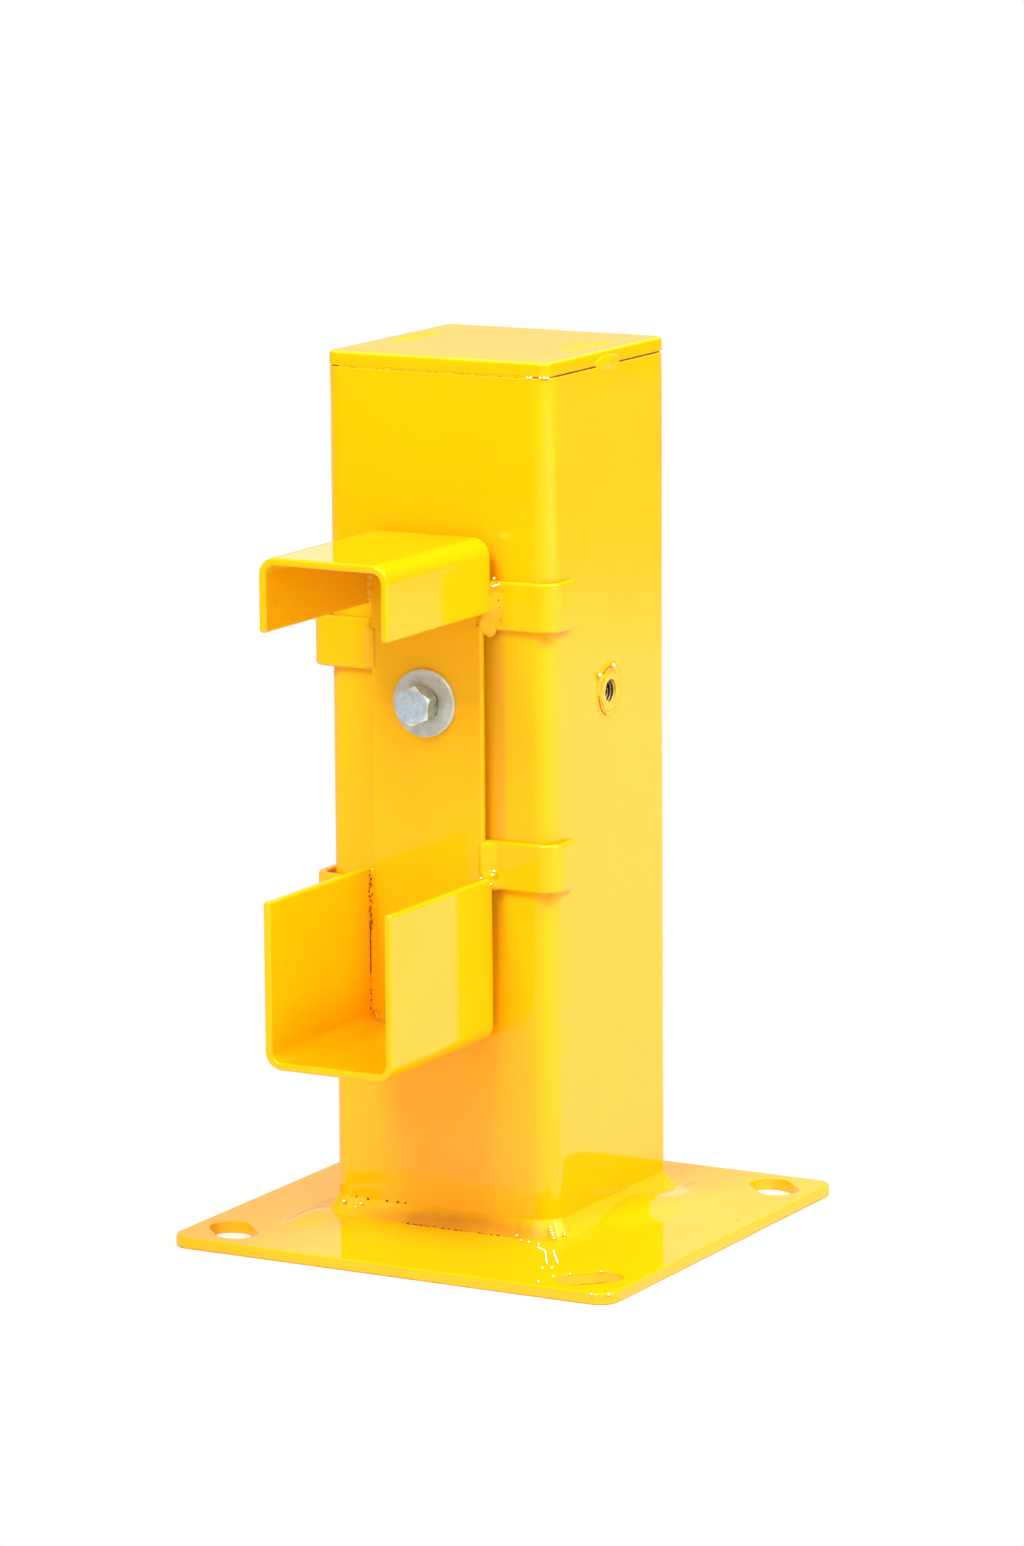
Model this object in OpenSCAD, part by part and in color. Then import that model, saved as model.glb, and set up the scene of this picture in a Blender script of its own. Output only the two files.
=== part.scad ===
/* [Post] */
// Outside width of the square tube
post_w = 127; // [120:1:136]
// Height of the whole post, from the floor to the top of its cap
post_h = 442; // [436:2:500]
// Wall thickness of the tube
post_wall = 5; // [4:0.5:6]
// Outside corner radius of the tube
post_r = 11; // [9:0.5:13]

/* [Base plate] */
// Width of the square base plate
base_w = 248; // [242:1:262]
// How far the middle of the plate is to the right of the post
base_x = 14; // [0:1:16]
// How far the middle of the plate is in front of the post
base_y = 21; // [0:1:24]
// Thickness of the base plate
base_t = 6; // [5:0.5:10]
// Corner radius of the base plate
base_r = 10; // [4:1:16]
// Distance from an edge of the plate to the middle of a slot
slot_edge = 23.5; // [22:0.5:28]
// Width of an anchor slot
slot_w = 22; // [18:1:24]
// Length of an anchor slot, square to the diagonal of the plate
slot_len = 35; // [30:1:38]
// Leg of the fillet weld round the foot of the tube
foot_leg = 8; // [5:0.5:10]

/* [Cap] */
// How far the cap stays inside each side of the tube
cap_inset = 1.5; // [0.5:0.25:2.5]
// Thickness of the cap
cap_t = 7; // [6:0.5:9]
// Corner radius of the cap
cap_r = 5; // [4:0.5:8]
// Soft edge of the cap
cap_edge = 1; // [0.5:0.25:1.5]
// Open line left between the cap and the end of the tube
cap_gap = 0.5; // [0.3:0.1:0.8]
// Leg of the angle lug under each side of the cap
lug_leg = 22; // [20:1:25]
// Thickness of the angle lug
lug_t = 4; // [3:0.5:5]
// Length of the angle lug
lug_len = 64; // [56:2:80]
// Distance of the left plug weld from the left side of the post
plug_edge_left = 13.5; // [12:0.5:20]
// Distance of the right plug weld from the right side of the post
plug_edge_right = 18.5; // [12:0.5:20]
// How far behind the post centre the plug welds are
plug_y = 8; // [0:1:10]
// Width of a plug weld slot
plug_w = 6; // [5:0.5:8]
// Length of a plug weld slot
plug_len = 42; // [36:1:46]
// Height of a plug weld above the cap
plug_rise = 1.6; // [1:0.2:2.4]
// Length of the tack weld on the right edge of the cap
tack_len = 23; // [16:1:28]
// Height of the tack weld, above and below the end of the tube
tack_leg = 4.5; // [3:0.5:5]

/* [Weld nuts] */
// Height of the four nuts above the floor
nut_z = 272; // [264:1:278]
// How far a nut is to the left of the middle of its side
nut_side = 1.8; // [0:0.2:3]
// Size of a nut across its flats
nut_af = 20; // [19:0.5:21]
// Thickness of a nut
nut_t = 11; // [9:0.5:13]
// How far a nut stands out of the tube
nut_proud = 0.8; // [0.4:0.2:1.4]
// Radius of the threaded hole of a nut
nut_bore_r = 5.7; // [5.5:0.1:6]
// Radius of the hole in the tube round a nut
nut_seat_r = 12.4; // [12.2:0.1:13]
// Outside radius of the weld bead round a nut
nut_bead_r = 15.5; // [14.5:0.25:17]
// Height of the weld bead round a nut
nut_bead_h = 1.4; // [0.8:0.2:2]

/* [Bracket] */
// Height of the bracket
bracket_h = 252; // [246:1:260]
// Height of the underside of the bracket above the floor
bracket_z = 104; // [100:0.5:106]
// Thickness of the bracket plate
plate_t = 4; // [3:0.5:5]
// Width of the bracket plate
plate_w = 62; // [58:1:62]
// Radius of the bolt hole in the plate
plate_hole_r = 8.5; // [8.5:0.25:10]
// Outside width of a channel
channel_w = 71.4; // [71.2:0.2:75]
// Sheet thickness of a channel
channel_t = 4; // [3:0.25:4]
// Outside bend radius of a channel
channel_r = 9; // [6:0.5:10]
// Length of a channel away from the post
channel_len = 101.5; // [90:0.5:120]
// Height of the walls of the upper channel
upper_h = 37; // [33:1:44]
// Height of the walls of the lower channel
lower_h = 83; // [78.5:0.5:90]
// How far the channel walls reach back over the edges of the plate
channel_lap = 2; // [1:0.25:2.5]
// Leg of the seam weld inside a channel
seam_leg = 3; // [2:0.25:4]

/* [Tabs] */
// Thickness of a tab
tab_t = 4; // [3:0.25:5]
// Height of a tab
tab_h = 24.5; // [20:0.5:24.5]
// Step down from a right tab to its left tab
tab_step = 25; // [24.8:0.2:27]
// From the top of the bracket down to the underside of the upper right tab
tab_drop = 46; // [42:0.5:50]
// From the underside of the bracket up to the underside of the lower right tab
tab_rise = 76.5; // [70:0.5:82]
// Length of a tab along the side of the post, from its front face
tab_leg = 24.5; // [20:0.5:30]
// Outside bend radius of a tab
tab_r = 10; // [7:0.5:11]
// How far a tab reaches behind the plate
tab_lap = 10; // [5:1:14]
// Room between the tabs and the tube, on each side
tab_play = 1.8; // [1:0.1:2.5]
// Room left between the right tabs and the tube
tab_gap = 0.3; // [0.2:0.1:1]
// Leg of the weld between a tab and the plate
tab_bead = 5.5; // [4:0.5:7]

/* [Fasteners] */
// Radius of the bolt shank
bolt_r = 6.3; // [6:0.05:6.4]
// Size of the bolt head across its flats
head_af = 18; // [17:0.5:20]
// Height of the bolt head
head_h = 8; // [7:0.25:9]
// Turn of the bolt head
head_turn = 12; // [0:1:29]
// Length of the bolt under its head
bolt_len = 32; // [28:1:40]
// Room between the thread of the bolt and the nut
thread_gap = 0.1; // [0.05:0.01:0.2]
// Outside radius of the spring washer
spring_r = 10.4; // [10:0.1:12]
// Thickness of the spring washer
spring_t = 3.2; // [2.4:0.2:4]
// Cut of the spring washer
spring_cut = 1.2; // [0.8:0.1:2]
// Outside radius of the flat washer
washer_r = 17; // [16:0.25:19]
// Thickness of the flat washer
washer_t = 2.8; // [2:0.2:4]
// Room between the bolt and the holes of its washers
washer_gap = 0.8; // [0.5:0.1:1.2]

/* [Hidden] */
// Sections of the welds, as shares of their legs
foot_toe = 0.05;
foot_swell = 0.62;
bead_swell = 0.7;
tack_swell = 0.4;
plug_wave = 0.12;
plug_round = 0.72;
plug_taper = 0.86;
// Ends of the weld metal, in millimetres
foot_top = 0.3;
bead_slope = 2;
tack_proud = 1.4;
tack_back = 1.2;
tack_cap = 1;
weld_soft = 1;
weld_face = 1.6;
// Turned edges of the fasteners and the place of the cut in the spring washer
nut_rim = 0.3;
head_rim = 0.6;
head_cone = 0.58;
cut_at = 205;
cut_lean = 35;
// Post, from the base plate to the cap
half = post_w / 2;
cap_z = post_h - cap_t;
tube_top = cap_z - cap_gap;
cap_w = post_w - 2 * cap_inset;
inner_half = half - post_wall;
base_edge = 0.8;
slot_pitch = base_w - 2 * slot_edge;
plug_x_left = half - plug_edge_left;
plug_x_right = half - plug_edge_right;
lug_z = cap_z - lug_leg;
// Bracket, pushed to the left until the right tabs meet the tube
shift = tab_gap - tab_play;
front = -half;
tab_front = front - tab_t;
plate_front = tab_front - plate_t;
channel_back = tab_front - channel_lap;
channel_front = channel_back - channel_len;
bracket_top = bracket_z + bracket_h;
upper_z = bracket_top - upper_h;
lower_top = bracket_z + lower_h;
channel_in = channel_w / 2 - channel_t;
tab_in = half + tab_play;
tab_z_upper = bracket_top - tab_drop;
tab_z_lower = bracket_z + tab_rise;
tab_y = front + tab_in;
tab_end = tab_front + tab_leg;
plate_corner = channel_r - channel_t + 1.5;
head_y = plate_front - washer_t - spring_t;
thread_r = nut_bore_r - thread_gap;
thread_y = (tab_front + front - nut_proud) / 2;
ring_r = bolt_r + washer_gap;
bolt_tip = 1.2;

// Rectangle with round corners
module round_rect(w, h, r) {
    square([w, h - 2 * r], center = true);
    square([w - 2 * r, h], center = true);
    for (x = [-1, 1], y = [-1, 1])
        translate([x * (w / 2 - r), y * (h / 2 - r)])
            circle(r = r, $fn = 48);
}

module rounded(w, r) {
    round_rect(w, w, r);
}

// A square slab with a small slope round its upper edge
module soft_slab(w, r, t, edge) {
    linear_extrude(t - edge)
        rounded(w, r);
    translate([0, 0, t - edge])
        linear_extrude(edge, scale = (w - 2 * edge) / w)
            rounded(w, r);
}

module slot_shape(w, len) {
    square([len - w, w], center = true);
    for (s = [-1, 1])
        translate([s * (len - w) / 2, 0])
            circle(d = w, $fn = 48);
}

// Turns a piece that faces the front to the face at this angle
module to_face(angle) {
    rotate([0, 0, angle])
        translate([-nut_side, front, nut_z])
            rotate([90, 0, 0])
                children();
}

module base_plate() {
    color("gold")
        translate([base_x, -base_y, 0])
            difference() {
                soft_slab(base_w, base_r, base_t, base_edge);
                for (q = [0 : 3])
                    rotate([0, 0, q * 90])
                        translate([slot_pitch / 2, slot_pitch / 2, -1])
                            rotate([0, 0, 135])
                                linear_extrude(base_t + 2)
                                    slot_shape(slot_w, slot_len);
            }
}

module foot_weld() {
    color("goldenrod")
        translate([0, 0, base_t])
            difference() {
                hull() {
                    linear_extrude(foot_leg * foot_toe)
                        rounded(post_w + 2 * foot_leg, post_r + foot_leg);
                    linear_extrude(foot_leg * foot_swell)
                        rounded(post_w + foot_leg, post_r + foot_leg / 2);
                    linear_extrude(foot_leg)
                        rounded(post_w + 2 * foot_top, post_r + foot_top);
                }
                translate([0, 0, -1])
                    linear_extrude(foot_leg + 2)
                        rounded(post_w, post_r);
            }
}

module post_tube() {
    color("gold")
        difference() {
            translate([0, 0, base_t])
                linear_extrude(tube_top - base_t)
                    difference() {
                        rounded(post_w, post_r);
                        rounded(2 * inner_half, post_r - post_wall);
                    }
            for (a = [0, 90, 180, 270])
                to_face(a)
                    translate([0, 0, -post_wall - 1])
                        cylinder(r = nut_seat_r, h = post_wall + 2, $fn = 64);
        }
}

module plug_slot(x) {
    translate([x, plug_y])
        rotate(90)
            slot_shape(plug_w, plug_len);
}

module cap_plate() {
    color("gold")
        translate([0, 0, cap_z])
            difference() {
                soft_slab(cap_w, cap_r, cap_t, cap_edge);
                for (x = [-plug_x_left, plug_x_right])
                    translate([0, 0, -1])
                        linear_extrude(cap_t + 2)
                            plug_slot(x);
            }
}

// Angle under the cap, its upright leg on the inner wall of the tube
module cap_lug(side) {
    color("darkgoldenrod")
        translate([side * inner_half, plug_y, cap_z])
            rotate([90, 0, side > 0 ? 180 : 0])
                linear_extrude(lug_len, center = true)
                    difference() {
                        translate([0, -lug_leg])
                            square(lug_leg);
                        translate([lug_t, -lug_leg - 1])
                            square([lug_leg, lug_leg - lug_t + 1]);
                    }
}

// Uneven outline of the weld metal on top of a slot
module plug_head() {
    for (i = [-3 : 3])
        translate([(i % 2) * plug_w * plug_wave, i * plug_len / 7])
            circle(r = plug_w * plug_round * (1 - abs(i) / 24), $fn = 14);
}

// Weld metal in a slot of the cap, with a rough head on top
module cap_plug(x, turn) {
    color("goldenrod") {
        translate([0, 0, cap_z])
            linear_extrude(cap_t)
                plug_slot(x);
        for (step = [0, 1])
            translate([x, plug_y, post_h + step * plug_rise / 2])
                rotate([0, 0, turn])
                    linear_extrude(plug_rise / 2, scale = pow(plug_taper, 1 + step))
                        offset(delta = -step * plug_w * plug_wave)
                            plug_head();
    }
}

module cap_tack() {
    color("goldenrod")
        difference() {
            hull()
                for (s = [-1 : 0.5 : 1])
                    translate([half, s * tack_len / 2, tube_top])
                        rotate([90, 0, 0])
                            linear_extrude(0.2, center = true)
                                scale(1 - 0.3 * s * s)
                                    polygon([[-post_wall, -tack_leg], [0, -tack_leg],
                                        [tack_proud, -tack_leg * tack_swell],
                                        [tack_back, tack_leg * tack_swell],
                                        [-cap_inset, tack_leg + tack_cap],
                                        [-post_wall, tack_leg + tack_cap]]);
            translate([-post_w, -post_w / 2, tube_top])
                cube([post_w + cap_w / 2, post_w, 2 * cap_t]);
            translate([-post_w, -post_w / 2, tube_top - 2 * cap_t])
                cube([post_w + half, post_w, 2 * cap_t]);
        }
}

module weld_nut(angle) {
    color("silver")
        to_face(angle)
            translate([0, 0, nut_proud - nut_t])
                difference() {
                    intersection() {
                        cylinder(d = nut_af / cos(30), h = nut_t, $fn = 6);
                        cylinder(r1 = nut_af / 2 + nut_t, r2 = nut_af / 2 + nut_rim,
                            h = nut_t, $fn = 48);
                    }
                    translate([0, 0, -1])
                        cylinder(r = nut_bore_r, h = nut_t + 2, $fn = 64);
                }
}

// Weld metal between a nut and the tube, with a low bead round the nut
module nut_weld(angle) {
    color("goldenrod")
        to_face(angle)
            difference() {
                rotate_extrude($fn = 64)
                    polygon([[0, -post_wall], [nut_seat_r, -post_wall],
                        [nut_seat_r, 0], [nut_bead_r, 0],
                        [nut_bead_r - bead_slope / 3, nut_bead_h * bead_swell],
                        [nut_bead_r - bead_slope, nut_bead_h],
                        [nut_seat_r, nut_proud], [0, nut_proud]]);
                translate([0, 0, -nut_t])
                    cylinder(d = nut_af / cos(30), h = 2 * nut_t, $fn = 6);
            }
}

module bracket_plate() {
    color("gold")
        translate([shift, tab_front, 0])
            rotate([90, 0, 0])
                difference() {
                    translate([0, bracket_z + bracket_h / 2, 0])
                        linear_extrude(plate_t)
                            round_rect(plate_w, bracket_h - 2 * channel_t, plate_corner);
                    translate([-nut_side - shift, nut_z, -1])
                        cylinder(r = plate_hole_r, h = plate_t + 2, $fn = 64);
                }
}

// Bent sheet, open at the bottom, with its upper face at height zero
module channel_shape(wall) {
    difference() {
        translate([0, -wall])
            round_rect(channel_w, 2 * wall, channel_r);
        translate([0, -wall])
            round_rect(2 * channel_in, 2 * (wall - channel_t), channel_r - channel_t);
        translate([-channel_w, -3 * wall])
            square([2 * channel_w, 2 * wall]);
    }
}

module upper_channel() {
    color("gold")
        translate([shift, channel_back, bracket_top])
            rotate([90, 0, 0])
                linear_extrude(channel_len)
                    channel_shape(upper_h);
}

module lower_channel() {
    color("gold")
        translate([shift, channel_back, bracket_z])
            rotate([90, 0, 0])
                linear_extrude(channel_len)
                    mirror([0, 1])
                        channel_shape(lower_h);
}

// Two beads in the corners between the plate and the channel walls
module seam(z, len) {
    color("goldenrod")
        for (s = [-1, 1])
            translate([shift, 0, z])
                linear_extrude(len)
                    polygon([[s * plate_w / 2, channel_back],
                        [s * channel_in, channel_back],
                        [s * channel_in, plate_front - seam_leg],
                        [s * (channel_in - seam_leg * (1 - foot_swell)),
                            plate_front - seam_leg * foot_swell],
                        [s * (channel_in - seam_leg), plate_front],
                        [s * plate_w / 2, plate_front]]);
}

module upper_seam() {
    seam(upper_z + 1, upper_h - channel_r - 1);
}

module lower_seam() {
    seam(bracket_z + channel_r, lower_h - channel_r - 1);
}

module tab_shape() {
    intersection() {
        translate([0, tab_y])
            difference() {
                rounded(2 * (tab_in + tab_t), tab_r);
                rounded(2 * tab_in, tab_r - tab_t);
            }
        translate([plate_w / 2 - tab_lap, tab_front - 1])
            square([half, tab_leg + 1]);
    }
}

module tab(z, side) {
    color("gold")
        translate([shift, 0, z])
            linear_extrude(tab_h)
                scale([side, 1])
                    tab_shape();
}

// Weld prism between two heights, when there is room for one
module bead(z0, z1, side, points) {
    if (z1 > z0 + 0.5)
        translate([shift, 0, z0])
            linear_extrude(z1 - z0)
                scale([side, 1])
                    polygon(points);
}

module tab_weld(z, side) {
    edge = plate_w / 2;
    wall = channel_w / 2;
    on_plate = [[edge, tab_front], [edge, plate_front],
        [edge + weld_face, plate_front + weld_face / 2],
        [edge + tab_bead - weld_soft, tab_front - weld_soft], [edge + tab_bead, tab_front]];
    on_wall = [[edge, tab_front], [edge, channel_back], [wall, channel_back],
        [wall, channel_back - tab_bead * bead_swell], [wall + weld_face, channel_back - weld_soft],
        [wall + tab_bead - weld_soft, tab_front - weld_soft], [wall + tab_bead, tab_front]];
    color("goldenrod") {
        bead(max(z, lower_top), min(z + tab_h, upper_z), side, on_plate);
        bead(max(z, upper_z), min(z + tab_h, bracket_top - channel_r), side, on_wall);
        bead(max(z, bracket_z + channel_r), min(z + tab_h, lower_top), side, on_wall);
    }
}

module flat_washer() {
    color("silver")
        translate([-nut_side, plate_front, nut_z])
            rotate([90, 0, 0])
                difference() {
                    cylinder(r = washer_r, h = washer_t, $fn = 72);
                    translate([0, 0, -1])
                        cylinder(r = ring_r, h = washer_t + 2, $fn = 48);
                }
}

module spring_washer() {
    color("silver")
        translate([-nut_side, plate_front - washer_t, nut_z])
            rotate([90, 0, 0])
                difference() {
                    cylinder(r = spring_r, h = spring_t, $fn = 60);
                    translate([0, 0, -1])
                        cylinder(r = ring_r, h = spring_t + 2, $fn = 48);
                    rotate([0, 0, cut_at])
                        translate([spring_r, 0, spring_t / 2])
                            rotate([cut_lean, 0, 0])
                                cube([spring_r, spring_cut, 4 * spring_t], center = true);
                }
}

// Hexagon head with a turned face, shank and threaded end
module bolt() {
    color("silver")
        translate([-nut_side, head_y, nut_z])
            rotate([90, 0, 0]) {
                intersection() {
                    rotate([0, 0, head_turn])
                        cylinder(d = head_af / cos(30), h = head_h, $fn = 6);
                    cylinder(r1 = head_af / 2 + head_cone * head_h, r2 = head_af / 2 - head_rim,
                        h = head_h, $fn = 60);
                }
                translate([0, 0, head_y - thread_y])
                    cylinder(r = bolt_r, h = thread_y - head_y + head_h / 2, $fn = 48);
                translate([0, 0, bolt_tip - bolt_len])
                    cylinder(r = thread_r, h = bolt_len, $fn = 48);
                translate([0, 0, -bolt_len])
                    cylinder(r1 = thread_r - bolt_tip, r2 = thread_r, h = bolt_tip, $fn = 48);
            }
}

base_plate();
foot_weld();
post_tube();
cap_plate();
cap_lug(-1);  // cap_lug_left
cap_lug(1);  // cap_lug_right
cap_plug(-plug_x_left, -5);  // cap_plug_left
cap_plug(plug_x_right, -8);  // cap_plug_right
cap_tack();
weld_nut(0);  // nut_front
weld_nut(90);  // nut_right
weld_nut(180);  // nut_back
weld_nut(270);  // nut_left
nut_weld(0);  // nut_weld_front
nut_weld(90);  // nut_weld_right
nut_weld(180);  // nut_weld_back
nut_weld(270);  // nut_weld_left
bracket_plate();
upper_channel();
lower_channel();
upper_seam();
lower_seam();
tab(tab_z_upper, 1);  // upper_tab_right
tab(tab_z_upper - tab_step, -1);  // upper_tab_left
tab(tab_z_lower, 1);  // lower_tab_right
tab(tab_z_lower - tab_step, -1);  // lower_tab_left
tab_weld(tab_z_upper, 1);  // upper_weld_right
tab_weld(tab_z_upper - tab_step, -1);  // upper_weld_left
tab_weld(tab_z_lower, 1);  // lower_weld_right
tab_weld(tab_z_lower - tab_step, -1);  // lower_weld_left
flat_washer();
spring_washer();
bolt();
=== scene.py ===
"""Looks of a painted guard rail post: a square tube on a base plate, with a bracket for drop-in rails.

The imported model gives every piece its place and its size. The classes below rebuild the pieces with the
soft edges of coated sheet, uneven weld metal and real fasteners, and dress them in glossy coat or zinc.
"""

import logging
from dataclasses import dataclass
from enum import Enum
from math import atan2, copysign, cos, pi, radians, sin, sqrt, tan
from typing import Any, Iterable, Optional, Sequence, Union

import bmesh
import bpy
from mathutils import Matrix, Vector, geometry, noise


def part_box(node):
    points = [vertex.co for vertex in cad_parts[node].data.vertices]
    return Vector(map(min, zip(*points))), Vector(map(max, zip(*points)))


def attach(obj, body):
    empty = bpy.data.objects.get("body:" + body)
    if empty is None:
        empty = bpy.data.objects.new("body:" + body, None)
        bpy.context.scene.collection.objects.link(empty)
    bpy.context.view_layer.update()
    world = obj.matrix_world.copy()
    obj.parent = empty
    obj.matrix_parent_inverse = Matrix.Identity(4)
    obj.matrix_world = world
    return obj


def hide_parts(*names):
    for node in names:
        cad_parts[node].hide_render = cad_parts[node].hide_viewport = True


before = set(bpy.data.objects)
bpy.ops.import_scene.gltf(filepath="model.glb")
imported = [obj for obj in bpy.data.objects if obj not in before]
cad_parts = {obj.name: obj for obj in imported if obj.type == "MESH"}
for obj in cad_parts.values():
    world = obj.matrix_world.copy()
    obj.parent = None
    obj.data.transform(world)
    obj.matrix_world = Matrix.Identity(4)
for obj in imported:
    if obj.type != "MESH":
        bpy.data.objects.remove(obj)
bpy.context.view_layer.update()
LOG = logging.getLogger("guard_post")
MM = 0.001
BODY = "root"
TINY = 1e-6

# Ways in which the flat sides of the drops face, on pieces seen from the front and from the right.
FRONT_FLAT = Vector((0.218, -0.82, 0.526))
RIGHT_FLAT = Vector((0.677, -0.454, 0.58))

Piece = bpy.types.Object
Socket = bpy.types.NodeSocket
Outputs = bpy.types.NodeOutputs
Loop = list[tuple[Vector, Vector]]
Outline = list[tuple[float, float]]
Point = tuple[float, float, float]
Colour = tuple[float, float, float]
DropRow = tuple[float, float, float, float]
Radii = Union[float, Sequence[float]]
Range = tuple[float, ...]
Inputs = dict[str, Any]

WHITE = (1.0, 1.0, 1.0, 1.0)


class Slot(Enum):
    """Material slots of the record."""

    COAT = "yellow_coat"
    ZINC = "zinc_plate"


class Face(Enum):
    """Side of the post that a piece looks to, as an angle about the post in degrees."""

    FRONT = 0
    RIGHT = 90
    BACK = 180
    LEFT = 270

    def place(self, distance: float, height: float, shift: float = 0.0) -> Matrix:
        """Gives the matrix that lays a drawing in X and Y on this side, with +Z outwards.

        Args:
            distance: from the axis of the post to the drawing's plane.
            height: of the drawing's origin above the floor.
            shift: of the drawing's origin to the right, seen from outside.

        Returns:
            The 4x4 matrix.
        """
        turn = Matrix.Rotation(radians(self.value), 4, "Z")
        stand = Matrix.Rotation(pi / 2, 4, "X")
        return turn @ Matrix.Translation((shift, -distance, height)) @ stand


def lowest(node: str) -> Vector:
    """Gives the lowest corner of a CAD node in metres."""
    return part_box(node)[0]


def highest(node: str) -> Vector:
    """Gives the highest corner of a CAD node in metres."""
    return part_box(node)[1]


def middle(node: str) -> Vector:
    """Gives the middle of a CAD node's box in metres."""
    return (lowest(node) + highest(node)) / 2


def span(node: str) -> Vector:
    """Gives the three sizes of a CAD node's box in metres."""
    return highest(node) - lowest(node)


class Net:
    """Adds, fills and joins the nodes of one tree."""

    KINDS = {int: "Int", float: "Float", 3: "Vector", 4: "Color"}

    def __init__(self, tree: bpy.types.NodeTree) -> None:
        """Keeps the tree, and the identifiers of the sockets that it shows outside."""
        self.tree = tree
        self.identifiers: dict[str, str] = {}

    def socket(self, name: str, value: Any, output: bool = False) -> None:
        """Adds a named socket to the tree's own interface.

        Args:
            name: of the socket.
            value: its default, which tells its kind, or the name of a kind.
            output: true for a result of the tree.
        """
        side = "OUTPUT" if output else "INPUT"
        named = isinstance(value, str)
        kind = value if named else self.KINDS[len(value) if isinstance(value, tuple) else type(value)]
        made = self.tree.interface.new_socket(name, in_out=side, socket_type=f"NodeSocket{kind}")
        if not named:
            made.default_value = value
        if not output:
            self.identifiers[name] = made.identifier

    def add(self, kind: str, inputs: Optional[dict] = None, **options: Any) -> bpy.types.Node:
        """Adds a node.

        Args:
            kind: the node's type name.
            inputs: sockets or values, by the name or number of the node's input.
            options: properties of the node.

        Returns:
            The node.
        """
        node = self.tree.nodes.new(kind)
        for name, value in options.items():
            setattr(node, name, value)
        for key, value in (inputs or {}).items():
            self.feed(node.inputs[key], value)
        return node

    def put(self, kind: str, inputs: Optional[dict] = None, **options: Any) -> Socket:
        """Adds a node like add() and gives its first output."""
        return self.add(kind, inputs, **options).outputs[0]

    def feed(self, socket: Socket, value: Any) -> None:
        """Joins a socket to another one, or sets its value.

        Args:
            socket: an input of a node.
            value: an output of another node, or a plain value.
        """
        if isinstance(value, Socket):
            self.tree.links.new(value, socket)
        else:
            socket.default_value = value

    def math(self, operation: str, *values: Any, clamp: bool = False) -> Socket:
        """Adds a Math node and gives its result."""
        inputs = dict(enumerate(values))
        return self.put("ShaderNodeMath", inputs, operation=operation, use_clamp=clamp)

    def times(self, first: Any, second: Any) -> Socket:
        """Multiplies two values."""
        return self.math("MULTIPLY", first, second)

    def plus(self, first: Any, second: Any) -> Socket:
        """Adds two values."""
        return self.math("ADD", first, second)

    def minus(self, first: Any, second: Any) -> Socket:
        """Takes the second value from the first."""
        return self.math("SUBTRACT", first, second)

    def vector(self, operation: str, *values: Any, scale: Any = None) -> Socket:
        """Adds a Vector Math node.

        Args:
            operation: its name.
            values: one or two vectors.
            scale: factor of the operation SCALE.

        Returns:
            Its result, a vector or a value.
        """
        node = self.add("ShaderNodeVectorMath", dict(enumerate(values)), operation=operation)
        if scale is not None:
            self.feed(node.inputs["Scale"], scale)
        return node.outputs[1 if operation in ("LENGTH", "DOT_PRODUCT") else 0]

    def joined(self, x: Any, y: Any = 0.0, z: Any = 0.0) -> Socket:
        """Joins three values into a vector."""
        return self.put("ShaderNodeCombineXYZ", {0: x, 1: y, 2: z})

    def blend(self, share: Any, first: Any, second: Any) -> Socket:
        """Mixes two colours and gives the result."""
        inputs = {0: share, 6: first, 7: second}
        return self.add("ShaderNodeMix", inputs, data_type="RGBA").outputs[2]

    def noise(self, vector: Any, scale: Any, detail: float = 2.0, **inputs: Any) -> Socket:
        """Adds a Noise Texture and gives its value from 0 to 1."""
        values = {"Vector": vector, "Scale": scale, "Detail": detail, **inputs}
        return self.add("ShaderNodeTexNoise", values).outputs["Fac"]

    def ramp(self, value: Any, low: Any, high: Any, to_low: Any = 0.0, to_high: Any = 1.0,
             smooth: bool = True) -> Socket:
        """Maps a value from one range to another and keeps it inside.

        Args:
            value: the value.
            low: start of its range.
            high: end of its range.
            to_low: result at the start.
            to_high: result at the end.
            smooth: true for soft ends.

        Returns:
            The result.
        """
        inputs = {0: value, 1: low, 2: high, 3: to_low, 4: to_high}
        kind = "SMOOTHSTEP" if smooth else "LINEAR"
        return self.put("ShaderNodeMapRange", inputs, interpolation_type=kind)

    def bump(self, height: Socket) -> Socket:
        """Turns a height in metres into a normal."""
        return self.put("ShaderNodeBump", {"Strength": 1.0, "Distance": 1.0, "Height": height})


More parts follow.
